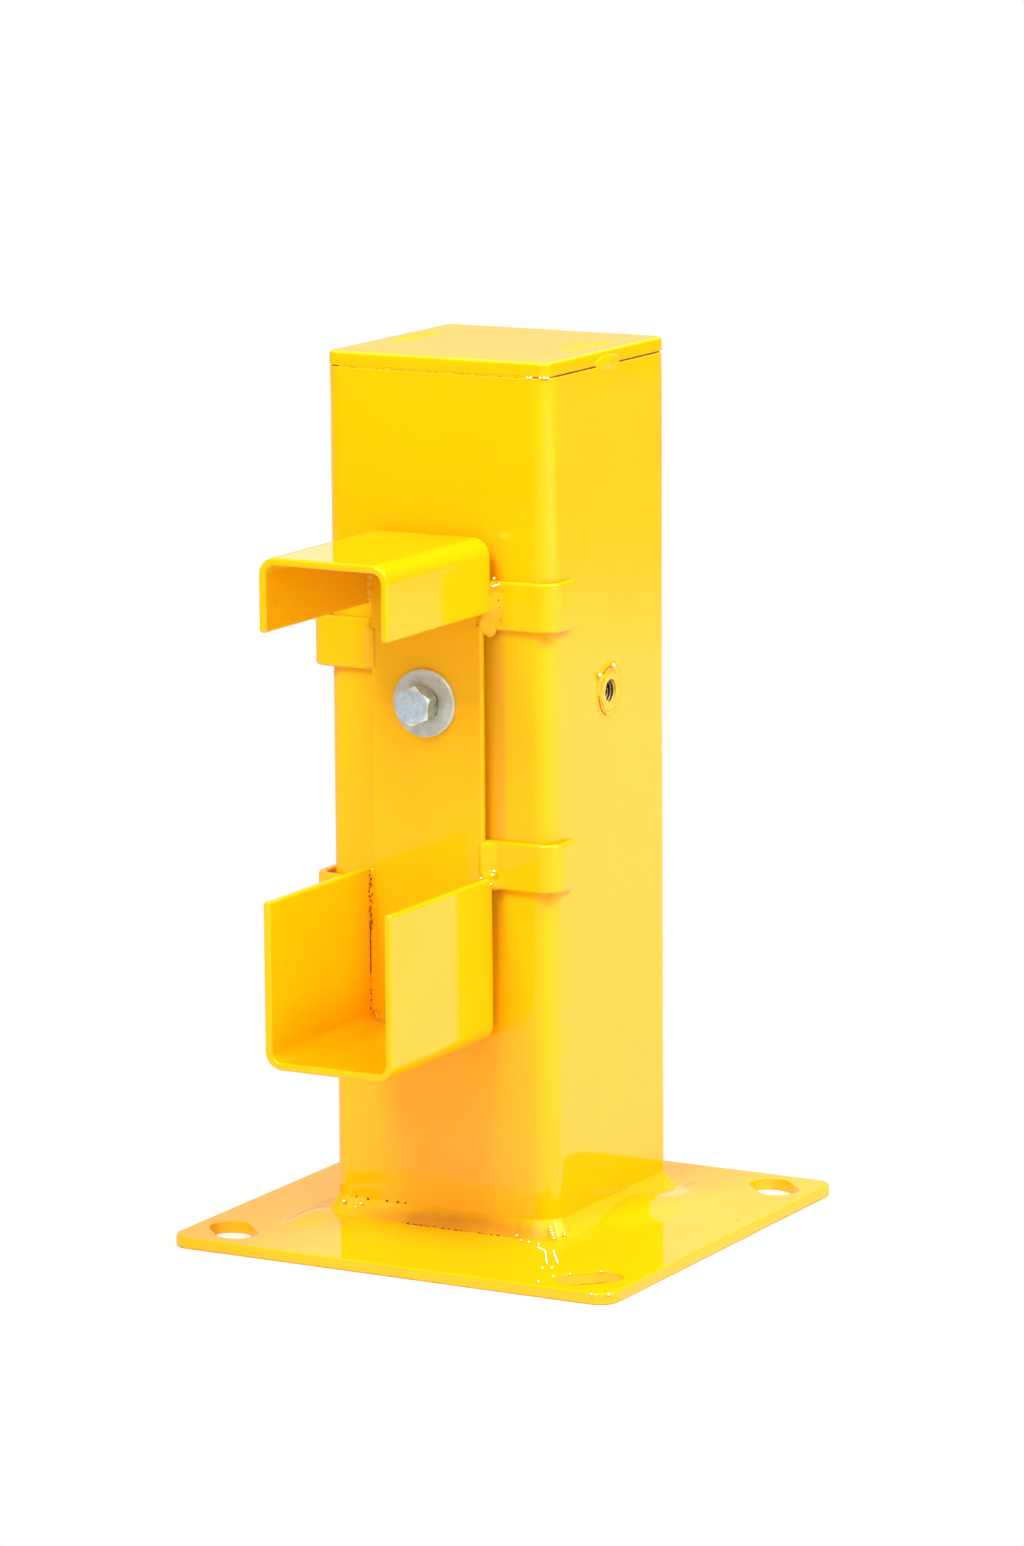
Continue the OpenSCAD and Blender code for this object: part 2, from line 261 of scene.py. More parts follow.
class Effects:
    """Shader node groups that more than one finish uses. Each is built once."""

    def group(self, name: str, inputs: Inputs, outputs: dict[str, str]) -> Optional[Net]:
        """Starts a group, unless it is there already.

        Args:
            name: of the group.
            inputs: default or kind of each input.
            outputs: kind of each output.

        Returns:
            The new group's net, or None if it was made before.
        """
        if name in bpy.data.node_groups:
            return None
        net = Net(bpy.data.node_groups.new(name, "ShaderNodeTree"))
        for key, value in inputs.items():
            net.socket(key, value)
        for key, kind in outputs.items():
            net.socket(key, kind, output=True)
        return net

    def orange_peel(self) -> bpy.types.NodeTree:
        """Gives the group for the skin of a sprayed coat: fine dimples over long, shallow waves.

        Returns:
            The group.
        """
        inputs = {"Vector": "Vector", "Dimple Scale": 420.0, "Dimple Depth": 3e-6, "Wave Scale": 45.0,
                  "Wave Depth": 2e-5}
        net = self.group("orange_peel", inputs, {"Normal": "Vector"})
        if net:
            given = net.add("NodeGroupInput").outputs
            fine = net.noise(given["Vector"], given["Dimple Scale"], 1.0)
            wide = net.noise(given["Vector"], given["Wave Scale"], 0.0)
            height = net.plus(net.times(fine, given["Dimple Depth"]), net.times(wide, given["Wave Depth"]))
            net.add("NodeGroupOutput", {"Normal": net.bump(height)})
        return bpy.data.node_groups["orange_peel"]

    def coat_tone(self) -> bpy.types.NodeTree:
        """Gives the group for the drift of a coat's colour and gloss, with tiny nibs of dust in it.

        Returns:
            The group.
        """
        inputs = {"Vector": "Vector", "Color": WHITE, "Thin Color": WHITE, "Drift": 0.5, "Nibs": 0.3,
                  "Gloss": 0.18}
        net = self.group("coat_tone", inputs, {"Color": "Color", "Roughness": "Float"})
        if net:
            given = net.add("NodeGroupInput").outputs
            place = given["Vector"]
            cloud = net.ramp(net.noise(place, 26.0, 4.0), 0.35, 0.7)
            tone = net.blend(net.times(cloud, given["Drift"]), given["Color"], given["Thin Color"])
            dots = net.add("ShaderNodeTexVoronoi", {"Vector": place, "Scale": 160.0}).outputs["Distance"]
            dot = net.ramp(dots, 0.10, 0.05)
            chosen = net.ramp(net.noise(place, 70.0, 1.0), 0.60, 0.68)
            nib = net.times(net.times(dot, chosen), given["Nibs"])
            speckled = net.blend(nib, tone, (0.35, 0.14, 0.01, 1.0))
            haze = net.noise(place, 90.0, 3.0)
            rough = net.times(given["Gloss"], net.ramp(haze, 0.3, 0.7, 0.85, 1.2))
            net.add("NodeGroupOutput", {"Color": speckled, "Roughness": rough})
        return bpy.data.node_groups["coat_tone"]

    def local_mark(self) -> bpy.types.NodeTree:
        """Gives the group for one small mark at a place on the surface, broken up by grain.

        Returns:
            The group.
        """
        inputs = {"Vector": "Vector", "Centre": (0.0, 0.0, 0.0), "Spread": (1.0, 1.0, 1.0),
                  "Grain Scale": 300.0, "Grain": 0.6}
        net = self.group("local_mark", inputs, {"Mask": "Float"})
        if net:
            given = net.add("NodeGroupInput").outputs
            away = net.vector("SUBTRACT", given["Vector"], given["Centre"])
            reach = net.vector("LENGTH", net.vector("DIVIDE", away, given["Spread"]))
            spot = net.ramp(reach, 1.0, 0.35)
            grain = net.ramp(net.noise(given["Vector"], given["Grain Scale"], 3.0), 0.4, 0.6)
            kept = net.minus(1.0, net.times(given["Grain"], net.minus(1.0, grain)))
            net.add("NodeGroupOutput", {"Mask": net.times(spot, kept)})
        return bpy.data.node_groups["local_mark"]

    def metal_skin(self) -> bpy.types.NodeTree:
        """Gives the group for plated metal: patches of two tones, uneven polish and fine scratches.

        Returns:
            The group.
        """
        inputs = {"Vector": "Vector", "Color": WHITE, "Patch Color": WHITE, "Patch Scale": 180.0,
                  "Roughness": 0.4, "Scratch Depth": 4e-6}
        net = self.group("metal_skin", inputs, {"Color": "Color", "Roughness": "Float", "Normal": "Vector"})
        if net:
            given = net.add("NodeGroupInput").outputs
            place = given["Vector"]
            patch = net.ramp(net.noise(place, given["Patch Scale"], 5.0, Roughness=0.65), 0.38, 0.64)
            tone = net.blend(patch, given["Color"], given["Patch Color"])
            dull = net.noise(place, 420.0, 3.0)
            rough = net.times(given["Roughness"], net.ramp(dull, 0.3, 0.7, 0.8, 1.25))
            stretch = net.put("ShaderNodeMapping", {"Vector": place, "Rotation": (0.3, 0.5, 0.9),
                                                    "Scale": (1.0, 0.08, 1.0)})
            line = net.noise(stretch, 2600.0, 2.0)
            grit = net.noise(place, 1100.0, 3.0)
            normal = net.bump(net.times(net.plus(line, grit), given["Scratch Depth"]))
            net.add("NodeGroupOutput", {"Color": tone, "Roughness": rough, "Normal": normal})
        return bpy.data.node_groups["metal_skin"]


EFFECTS = Effects()


@dataclass(frozen=True)
class Mark:
    """A local mark in a coat: its place and reach in millimetres, its colour and its strength."""

    centre: Point
    spread: Point
    tint: Colour
    strength: float = 0.5
    grain_scale: float = 300.0
    grain: float = 0.6


@dataclass(frozen=True)
class Finish:
    """Base of all finishes: a named material that is built once."""

    name: str

    def material(self) -> bpy.types.Material:
        """Gives the material, built at the first call.

        Returns:
            The material.
        """
        known = bpy.data.materials.get(self.name)
        if known:
            return known
        made = bpy.data.materials.new(self.name)
        made.use_nodes = True
        made.node_tree.nodes.clear()
        self.wire(Net(made.node_tree))
        return made

    def wire(self, net: Net) -> None:
        """Builds the nodes. Each finish has its own."""
        raise NotImplementedError

    @staticmethod
    def effect(net: Net, group: bpy.types.NodeTree, inputs: dict[str, Any]) -> Outputs:
        """Places a shader group on Object coordinates.

        Args:
            net: of the material.
            group: the effect.
            inputs: its values by name, without the vector.

        Returns:
            The outputs of the group's node.
        """
        node = net.add("ShaderNodeGroup", node_tree=group)
        place = net.add("ShaderNodeTexCoord").outputs["Object"]
        for key, value in {"Vector": place, **inputs}.items():
            net.feed(node.inputs[key], value)
        return node.outputs

    @staticmethod
    def shade(net: Net, inputs: dict[str, Any]) -> None:
        """Adds the Principled shader with these inputs and the output."""
        shader = net.put("ShaderNodeBsdfPrincipled", inputs)
        net.add("ShaderNodeOutputMaterial", {"Surface": shader})


@dataclass(frozen=True)
class GlossCoat(Finish):
    """Glossy yellow stove enamel on steel."""

    colour: Colour = (0.98, 0.505, 0.0015)
    thin: Colour = (0.95, 0.465, 0.0012)
    drift: float = 0.30
    nibs: float = 0.20
    gloss: float = 0.06
    dimple: float = 1.6e-6
    wave: float = 1.2e-5
    density: float = 1.5
    marks: tuple[Mark, ...] = ()

    def wire(self, net: Net) -> None:
        """Builds the coat: toned colour, marks, varied gloss and an orange peel skin.

        Args:
            net: of the material.
        """
        tone = self.effect(net, EFFECTS.coat_tone(), {
            "Color": (*self.colour, 1.0), "Thin Color": (*self.thin, 1.0), "Drift": self.drift,
            "Nibs": self.nibs, "Gloss": self.gloss})
        colour = tone["Color"]
        for mark in self.marks:
            spot = self.effect(net, EFFECTS.local_mark(), {
                "Centre": [MM * x for x in mark.centre], "Spread": [MM * x for x in mark.spread],
                "Grain Scale": mark.grain_scale, "Grain": mark.grain})
            colour = net.blend(net.times(spot["Mask"], mark.strength), colour, (*mark.tint, 1.0))
        skin = self.effect(net, EFFECTS.orange_peel(), {"Dimple Depth": self.dimple, "Wave Depth": self.wave})
        self.shade(net, {"Base Color": colour, "Roughness": tone["Roughness"], "Normal": skin["Normal"],
                         "IOR": self.density})


@dataclass(frozen=True)
class ZincPlate(Finish):
    """Zinc plated steel of a fastener."""

    colour: Colour = (0.76, 0.78, 0.71)
    patch: Colour = (0.62, 0.63, 0.55)
    patch_scale: float = 180.0
    roughness: float = 0.42
    scratch: float = 4e-6
    metallic: float = 0.35

    def wire(self, net: Net) -> None:
        """Builds the plate: mottled colour, uneven polish and fine scratches.

        Args:
            net: of the material.
        """
        skin = self.effect(net, EFFECTS.metal_skin(), {
            "Color": (*self.colour, 1.0), "Patch Color": (*self.patch, 1.0), "Patch Scale": self.patch_scale,
            "Roughness": self.roughness, "Scratch Depth": self.scratch})
        self.shade(net, {"Base Color": skin["Color"], "Roughness": skin["Roughness"],
                         "Normal": skin["Normal"], "Metallic": self.metallic})


@dataclass(frozen=True)
class BurntCreviceAndShade(Finish):
    """Bare, scorched steel that shows where the coat did not reach; also used as painted shade and painted
    shadow.
    """

    colour: Colour = (0.075, 0.028, 0.008)
    rust: Colour = (0.42, 0.15, 0.012)
    rust_share: float = 0.4

    def wire(self, net: Net) -> None:
        """Builds a dull dark skin with patches of stained coat.

        Args:
            net: of the material.
        """
        skin = self.effect(net, EFFECTS.metal_skin(), {
            "Color": (*self.colour, 1.0), "Patch Color": (*self.rust, 1.0), "Patch Scale": 500.0,
            "Roughness": 0.8, "Scratch Depth": 8e-6})
        share = net.times(skin["Roughness"], self.rust_share)
        colour = net.blend(share, skin["Color"], (*self.colour, 1.0))
        self.shade(net, {"Base Color": colour, "Roughness": skin["Roughness"], "Normal": skin["Normal"]})


BEAD_COAT = GlossCoat("bead_coat", gloss=0.03, dimple=1e-6, wave=2e-6, density=2.2)
WELD_COAT = GlossCoat("weld_coat", gloss=0.055, dimple=2.4e-6)
# This dark finish is scorched steel in the pits, and painted shade in the ring deep in the gap under the cap.
SCORCH_AND_SHADE = BurntCreviceAndShade("burnt_crevice")
# This brown finish is stain in the joints and seams, and painted shadow in the line at the near slot.
STAIN_AND_SHADE = BurntCreviceAndShade("stained_gap", colour=(0.42, 0.13, 0.012), rust=(0.75, 0.30, 0.01))


def rounded(points: Iterable[Sequence[float]], radii: Radii, steps: int = 8) -> Loop:
    """Rounds the corners of a polygon, the hollow ones too.

    Args:
        points: corners, counter-clockwise.
        radii: one radius, or one for each corner.
        steps: segments of each arc.

    Returns:
        Points with their outward normals.
    """
    corners = [Vector(p) for p in points]
    count = len(corners)
    each = [radii] * count if isinstance(radii, (int, float)) else list(radii)
    loop: Loop = []
    for i, corner in enumerate(corners):
        before = (corner - corners[i - 1]).normalized()
        after = (corners[(i + 1) % count] - corner).normalized()
        turn = atan2(before.cross(after), before.dot(after))
        side = copysign(1.0, turn)
        first = Vector((before.y, -before.x))
        centre = corner - before * each[i] * tan(abs(turn) / 2) - first * each[i] * side
        for k in range(steps + 1):
            normal = Matrix.Rotation(turn * k / steps, 2) @ first
            loop.append((centre + normal * each[i] * side, normal))
    return loop


def rectangle(width: float, height: float, radius: float, steps: int = 8) -> Loop:
    """Gives a centred rectangle with round corners."""
    x, y = width / 2, height / 2
    return rounded([(-x, -y), (x, -y), (x, y), (-x, y)], radius, steps)


def circle(radius: float, steps: int = 72) -> Loop:
    """Gives a circle about the origin.

    Args:
        radius: of the circle.
        steps: its number of points.

    Returns:
        Points with their outward normals.
    """
    turns = (2 * pi * k / steps for k in range(steps))
    normals = [Vector((cos(a), sin(a))) for a in turns]
    return [(n * radius, n) for n in normals]


def hexagon(across: float, radius: float) -> Loop:
    """Gives a hexagon with corners on X.

    Args:
        across: size across flats.
        radius: of its corners.

    Returns:
        Points with their outward normals.
    """
    reach = across / 2 / cos(pi / 6)
    angles = [radians(60 * k) for k in range(6)]
    return rounded([(reach * cos(a), reach * sin(a)) for a in angles], radius, 4)


def slot_loop(length: float, width: float) -> Loop:
    """Gives a centred slot along X with half-round ends."""
    return rectangle(length, width, width / 2 - TINY, 12)


def moved(loop: Loop, shift: Sequence[float], turn: float = 0.0) -> Loop:
    """Turns a loop by an angle in degrees and moves it."""
    matrix = Matrix.Rotation(radians(turn), 2)
    return [(matrix @ p + Vector(shift), matrix @ n) for p, n in loop]


def new_object(name: str, data: bpy.types.ID) -> Piece:
    """Puts a new object in the scene.

    Args:
        name: of the object.
        data: its mesh, curve, light or camera.

    Returns:
        The object.
    """
    made = bpy.data.objects.new(name, data)
    bpy.context.scene.collection.objects.link(made)
    return made


def mesh_piece(name: str, vertices: Sequence[Vector], faces: Sequence[Sequence[int]],
               normals: Optional[Sequence[Vector]] = None) -> Piece:
    """Makes a smooth mesh object.

    Args:
        name: of the piece.
        vertices: points in metres.
        faces: corner numbers of each face, counter-clockwise from outside.
        normals: exact normals of the vertices, if they are known.

    Returns:
        The object.
    """
    mesh = bpy.data.meshes.new(name)
    mesh.from_pydata([tuple(v) for v in vertices], [], [tuple(f) for f in faces])
    mesh.shade_smooth()
    if normals:
        mesh.normals_split_custom_set_from_vertices([tuple(n) for n in normals])
    mesh.update()
    return new_object(name, mesh)


def sculpted(name: str, shape: bmesh.types.BMesh) -> Piece:
    """Turns an edited mesh into a smooth object and frees it.

    Args:
        name: of the piece.
        shape: the edited mesh.

    Returns:
        The object.
    """
    mesh = bpy.data.meshes.new(name)
    shape.to_mesh(mesh)
    shape.free()
    mesh.shade_smooth()
    return new_object(name, mesh)


def settled(piece: Piece) -> Piece:
    """Turns a piece with modifiers, or a grown curve, into a plain mesh object of the same name.

    Args:
        piece: the object, which is used up.

    Returns:
        The new object.
    """
    name = piece.name
    graph = bpy.context.evaluated_depsgraph_get()
    mesh = bpy.data.meshes.new_from_object(piece.evaluated_get(graph), preserve_all_data_layers=True,
                                           depsgraph=graph)
    piece.modifiers.clear()
    bpy.data.objects.remove(piece)
    mesh.name = name
    return new_object(name, mesh)


def evened(piece: Piece) -> Piece:
    """Gives flat faces a flat shade beside rounded edges, and settles the piece.

    Args:
        piece: the object, which is used up.

    Returns:
        The new object.
    """
    modifier = piece.modifiers.new("even", "WEIGHTED_NORMAL")
    modifier.keep_sharp = True
    modifier.weight = 80
    return settled(piece)


def soft_solid(name: str, outer: Loop, holes: Sequence[Loop], depth: float, edge: float, place: Matrix,
               steps: int = 3, foot: Optional[float] = None, rim: Optional[float] = None) -> Piece:
    """Extrudes an outline with holes and rounds its edges.

    Args:
        name: of the piece.
        outer: outline, counter-clockwise.
        holes: outlines of holes, counter-clockwise too.
        depth: of the extrusion along +Z.
        edge: radius of the edges.
        place: matrix from the drawing to the model.
        steps: segments of a rounded edge.
        foot: radius of the edges at the lower end, where it differs.
        rim: radius of the edges of the holes, where it differs.

    Returns:
        The piece, with exact normals.
    """
    loops = [outer] + [[(p, -n) for p, n in reversed(hole)] for hole in holes]
    radii = [(edge if foot is None else foot, edge)]
    radii += [radii[0] if rim is None else (rim, rim)] * len(holes)
    angles = [pi / 2 * k / steps for k in range(steps + 1)]
    levels = [(a, -1.0) for a in angles] + [(a, 1.0) for a in reversed(angles)]
    vertices: list[Vector] = []
    normals: list[Vector] = []
    for angle, end in levels:
        for loop, (low, high) in zip(loops, radii):
            radius = high if end > 0 else low
            rise = radius * (1 - cos(angle))
            for point, normal in loop:
                flat = point - normal * radius * (1 - sin(angle))
                vertices.append(place @ Vector((*flat, depth - rise if end > 0 else rise)))
                lean = Vector((*(normal * sin(angle)), end * cos(angle)))
                normals.append(place.to_3x3() @ lean)
    size = sum(len(loop) for loop in loops)
    faces: list[tuple[int, ...]] = []
    for row in range(len(levels) - 1):
        start = row * size
        for loop in loops:
            for i in range(len(loop)):
                j = (i + 1) % len(loop)
                faces.append((start + i, start + j, start + j + size, start + i + size))
            start += len(loop)
    top = [[Vector((*(p - n * high), 0.0)) for p, n in loop] for loop, (_, high) in zip(loops, radii)]
    flat_points = [p for loop in top for p in loop]
    last = size * (len(levels) - 1)
    for a, b, c in geometry.tessellate_polygon(top):
        up = (flat_points[b] - flat_points[a]).cross(flat_points[c] - flat_points[a]).z > 0
        first, second = (b, c) if up else (c, b)
        faces.append((a + last, first + last, second + last))
        faces.append((a, second, first))
    return mesh_piece(name, vertices, faces, normals)


def ring_faces(rows: Sequence[int], count: int) -> list[tuple[int, ...]]:
    """Joins rings of vertices, each given by its first number, into bands of quads."""
    bands = zip(rows, rows[1:])
    return [(a + i, a + (i + 1) % count, b + (i + 1) % count, b + i) for a, b in bands for i in range(count)]


def hex_solid(name: str, across: float, height: float, crown: float, bore: float, place: Matrix,
              turn: float = 0.0, chamfer: float = 30.0, edge: float = 0.22 * MM) -> Piece:
    """Makes a hexagon nut or bolt head with a turned chamfer at its upper end.

    Args:
        name: of the piece.
        across: size across flats.
        height: along +Z.
        crown: radius of the flat circle at the top.
        bore: radius of the hole, or 0.
        place: matrix from the drawing to the model.
        turn: of the hexagon in degrees.
        chamfer: slope of the turned face in degrees.
        edge: width of the softened edges.

    Returns:
        The piece.
    """
    count = 96
    inner = max(bore, crown * 0.12)
    rows: list[list[Vector]] = [[] for _ in range(5)]
    for k in range(count):
        angle = 2 * pi * k / count
        reach = across / 2 / cos((angle % (pi / 3)) - pi / 6)
        spin = angle + radians(turn)
        drop = (reach - crown) * tan(radians(chamfer))
        profile = [(inner, 0), (reach, 0), (reach, height - drop), (crown, height), (inner, height)]
        for row, (radius, z) in zip(rows, profile):
            row.append(Vector((radius * cos(spin), radius * sin(spin), z)))
    vertices = [place @ v for row in rows for v in row]
    faces = ring_faces([count * k for k in range(5)], count)
    if bore:
        faces += ring_faces([4 * count, 0], count)
    else:
        faces += [tuple(range(4 * count, 5 * count)), tuple(reversed(range(count)))]
    piece = mesh_piece(name, vertices, faces)
    bevel = piece.modifiers.new("edge", "BEVEL")
    bevel.width = edge
    bevel.segments = 2
    bevel.angle_limit = radians(20)
    bevel.use_clamp_overlap = False
    return evened(piece)


def lump(name: str, reach: Sequence[float], place: Matrix, bump: float, grain: float, seed: int,
         square: float, detail: int) -> Piece:
    """Makes a lump of weld metal: a rounded block with an uneven skin.

    Args:
        name: of the piece.
        reach: half sizes along the three axes.
        place: matrix from the lump to the model.
        bump: depth of the unevenness.
        grain: size of the bumps.
        seed: picks the pattern.
        square: 2 gives an ellipsoid, more gives a block with round edges.
        detail: subdivisions of the sphere that it starts from.

    Returns:
        The piece.
    """
    shape = bmesh.new()
    bmesh.ops.create_icosphere(shape, subdivisions=detail, radius=1.0)
    for vertex in shape.verts:
        way = vertex.co.normalized()
        power = sum(abs(c) ** square for c in way) ** (-1.0 / square)
        point = Vector(c * power * r for c, r in zip(way, reach))
        spot = point / grain + Vector((seed * 17.3, seed * 5.1, seed * 9.7))
        rise = noise.noise(spot) + 0.5 * noise.noise(spot * 2.1)
        slope = Vector(c / r for c, r in zip(way, reach)).normalized()
        vertex.co = place @ (point + slope * bump * rise)
    return sculpted(name, shape)


@dataclass(frozen=True)
class Drop:
    """A drop of metal: its centre and its half sizes in metres."""

    centre: Point
    reach: Point


def drops_at(spots: Iterable[Sequence[float]]) -> list[Drop]:
    """Gives drops from rows of x, y, z and half size in millimetres."""
    return [Drop((x * MM, y * MM, z * MM), (r * MM, r * MM, 0.8 * r * MM)) for x, y, z, r in spots]


def spatter(name: str, drops: Sequence[Drop], seed: int, flat: Vector = FRONT_FLAT) -> Piece:
    """Makes drops of weld spatter as one piece.

    Args:
        name: of the piece.
        drops: each one is made a little out of round.
        seed: picks the unevenness.
        flat: the way in which the flattened side of each drop faces.

    Returns:
        The piece.
    """
    shape = bmesh.new()
    for number, drop in enumerate(drops):
        made = bmesh.ops.create_icosphere(shape, subdivisions=4, radius=1.0)
        limit = 0.8 * Vector(n * r for n, r in zip(flat, drop.reach)).length
        for vertex in made["verts"]:
            away = 1.0 + 0.07 * noise.noise(vertex.co * 1.3 + Vector((seed * 3.1, number * 7.7, 1.5)))
            point = Vector(c * r * away for c, r in zip(vertex.co, drop.reach))
            vertex.co = Vector(drop.centre) + point - flat * max(point.dot(flat) - limit, 0.0)
    return sculpted(name, shape)


@dataclass(frozen=True)
class Swell:
    """A low swell of metal that runs out smoothly on all sides, with its sizes in millimetres.

    Its reach is to the right, to the back, to the left and to the front.
    """

    name: str
    centre: tuple[float, float]
    reach: tuple[float, float, float, float]
    rise: float
    seed: int

    def build(self, level: float) -> Piece:
        """Makes the swell.

        Args:
            level: height of the plate below it, in metres.

        Returns:
            The piece.
        """
        rows, count = 16, 64
        right, back, left, front = (r * MM for r in self.reach)
        centre = Vector((self.centre[0] * MM, self.centre[1] * MM, level))
        vertices: list[Vector] = []
        for row in range(1, rows + 2):
            share = min(row / rows, 1.0)
            for k in range(count):
                c, s = cos(2 * pi * k / count), sin(2 * pi * k / count)
                wide, deep = right if c > 0 else left, back if s > 0 else front
                flat = Vector((c * share * wide, s * share * deep, 0.0))
                uneven = 1.0 + 0.12 * noise.noise(flat * 35 + Vector((self.seed * 3.7, 0, 0)))
                height = self.rise * MM * uneven * (0.5 + 0.5 * cos(pi * share)) - 0.03 * MM
                flat.z = height if row <= rows else -1.5 * MM
                vertices.append(centre + flat)
        faces = ring_faces([count * k for k in range(rows, -1, -1)], count)
        faces += [tuple(range(count)), tuple(reversed(range(count * rows, count * (rows + 1))))]
        return mesh_piece(self.name, vertices, faces)


def path_curve(name: str, points: Sequence[Vector], closed: bool) -> Piece:
    """Makes a curve object through points.

    Args:
        name: of the curve.
        points: in metres.
        closed: true for a ring.

    Returns:
        The object.
    """
    curve = bpy.data.curves.new(name, "CURVE")
    curve.dimensions = "3D"
    spline = curve.splines.new("POLY")
    spline.points.add(len(points) - 1)
    for target, point in zip(spline.points, points):
        target.co = (*point, 1.0)
    spline.use_cyclic_u = closed
    return new_object(name, curve)


class GrowTree:
    """A Geometry Nodes tree that makes a piece, and the way to use it."""

    NAME = "grow"
    INPUTS: Inputs = {}

    def __init__(self) -> None:
        """Builds the tree with a geometry input and output, and its maker's own inputs."""
        net = self.net = Net(bpy.data.node_groups.new(self.NAME, "GeometryNodeTree"))
        net.socket("Geometry", "Geometry")
        net.socket("Geometry", "Geometry", output=True)
        for name, value in self.INPUTS.items():
            net.socket(name, value)
        net.socket("Material", "Material")
        given = net.add("NodeGroupInput").outputs
        shape = self.build(net, given)
        smooth = net.put("GeometryNodeSetShadeSmooth", {"Geometry": shape})
        real = net.put("GeometryNodeRealizeInstances", {"Geometry": smooth})
        dressed = net.put("GeometryNodeSetMaterial", {"Geometry": real, "Material": given["Material"]})
        net.add("NodeGroupOutput", {"Geometry": dressed})

    def build(self, net: Net, given: Outputs) -> Socket:
        """Builds the nodes and gives the geometry. Each tree has its own."""
        raise NotImplementedError

    def sweep(self, net: Net, path: Socket, section: Socket, up: Any, scale: Any) -> Socket:
        """Sweeps a section along a path.

        Args:
            net: of the tree.
            path: the curve.
            section: object that holds the closed outline.
            up: direction of the section's first axis.
            scale: of the section along the path.

        Returns:
            The geometry, with closed ends.
        """
        turned = net.put("GeometryNodeSetCurveNormal", {"Curve": path, "Normal": up}, mode="FREE")
        outline = net.add("GeometryNodeObjectInfo", {"Object": section}).outputs["Geometry"]
        return net.put("GeometryNodeCurveToMesh", {"Curve": turned, "Profile Curve": outline, "Scale": scale,
                                                   "Fill Caps": True})

    def grow(self, host: Piece, finish: Finish, values: dict[str, Any],
             section: Optional[Outline] = None) -> Piece:
        """Runs the tree on an object and settles the result.

        Args:
            host: the path, or an empty mesh, which is used up.
            finish: material of the piece.
            values: inputs of the tree.
            section: closed outline for a tree that sweeps one.

        Returns:
            The piece as a plain mesh object.
        """
        modifier = host.modifiers.new("grow", "NODES")
        modifier.node_group = self.net.tree
        outline = None
        if section:
            outline = path_curve(host.name + "_section", [Vector((*p, 0.0)) for p in section], True)
            values = {"Section": outline, **values}
        for name, value in {**values, "Material": finish.material()}.items():
            modifier[self.net.identifiers[name]] = value
        host.update_tag()
        piece = settled(host)
        if outline:
            bpy.data.objects.remove(outline)
        return piece


class WeldBeadTree(GrowTree):
    """Weld metal along a path: a section with ripples, lumps and rounded ends."""

    NAME = "weld_bead"
    INPUTS: Inputs = {"Section": "Object", "Up": (0.0, 0.0, 1.0), "Step": 0.6 * MM, "End": 0.0,
                      "Ripple Pitch": 3.0 * MM, "Ripple": 0.05 * MM, "Lump Size": 9.0 * MM,
                      "Lump": 0.3 * MM, "Seed": 1}

    def build(self, net: Net, given: Outputs) -> Socket:
        """Sweeps the section, then moves its skin by ripples and two sizes of lumps.

        Args:
            net: of the tree.
            given: the tree's inputs.

        Returns:
            The geometry.
        """
        path = net.put("GeometryNodeResampleCurve", {"Curve": given["Geometry"], "Length": given["Step"]},
                       mode="LENGTH")
        along = net.add("GeometryNodeSplineParameter").outputs["Length"]
        whole = net.add("GeometryNodeSplineLength").outputs["Length"]
        path = net.put("GeometryNodeStoreNamedAttribute", {"Geometry": path, "Name": "along", "Value": along},
                       data_type="FLOAT", domain="POINT")
        near = net.plus(net.math("MINIMUM", along, net.minus(whole, along)), TINY)
        share = net.math("DIVIDE", near, net.math("MAXIMUM", given["End"], TINY), clamp=True)
        miss = net.minus(1.0, share)
        round_end = net.math("SQRT", net.minus(1.02, net.times(miss, miss)))
        bead = self.sweep(net, path, given["Section"], given["Up"], round_end)
        place = net.put("GeometryNodeInputPosition")
        place = net.vector("ADD", place, net.joined(given["Seed"]))
        density = net.math("DIVIDE", 1.0, given["Lump Size"])
        big = net.minus(net.noise(place, density, 0.0), 0.5)
        small = net.minus(net.noise(place, net.times(density, 4.0), 1.0), 0.5)
        uneven = net.times(net.plus(net.times(big, 2.0), net.times(small, 0.5)), given["Lump"])
        stored = net.put("GeometryNodeInputNamedAttribute", {"Name": "along"}, data_type="FLOAT")
        turn = net.times(net.math("DIVIDE", stored, given["Ripple Pitch"]), 2 * pi)
        phase = net.plus(turn, net.times(big, 5.0))
        ripple = net.times(net.math("SINE", phase), given["Ripple"])
        normal = net.put("GeometryNodeInputNormal")
        offset = net.vector("SCALE", normal, scale=net.plus(uneven, ripple))
        return net.put("GeometryNodeSetPosition", {"Geometry": bead, "Offset": offset})


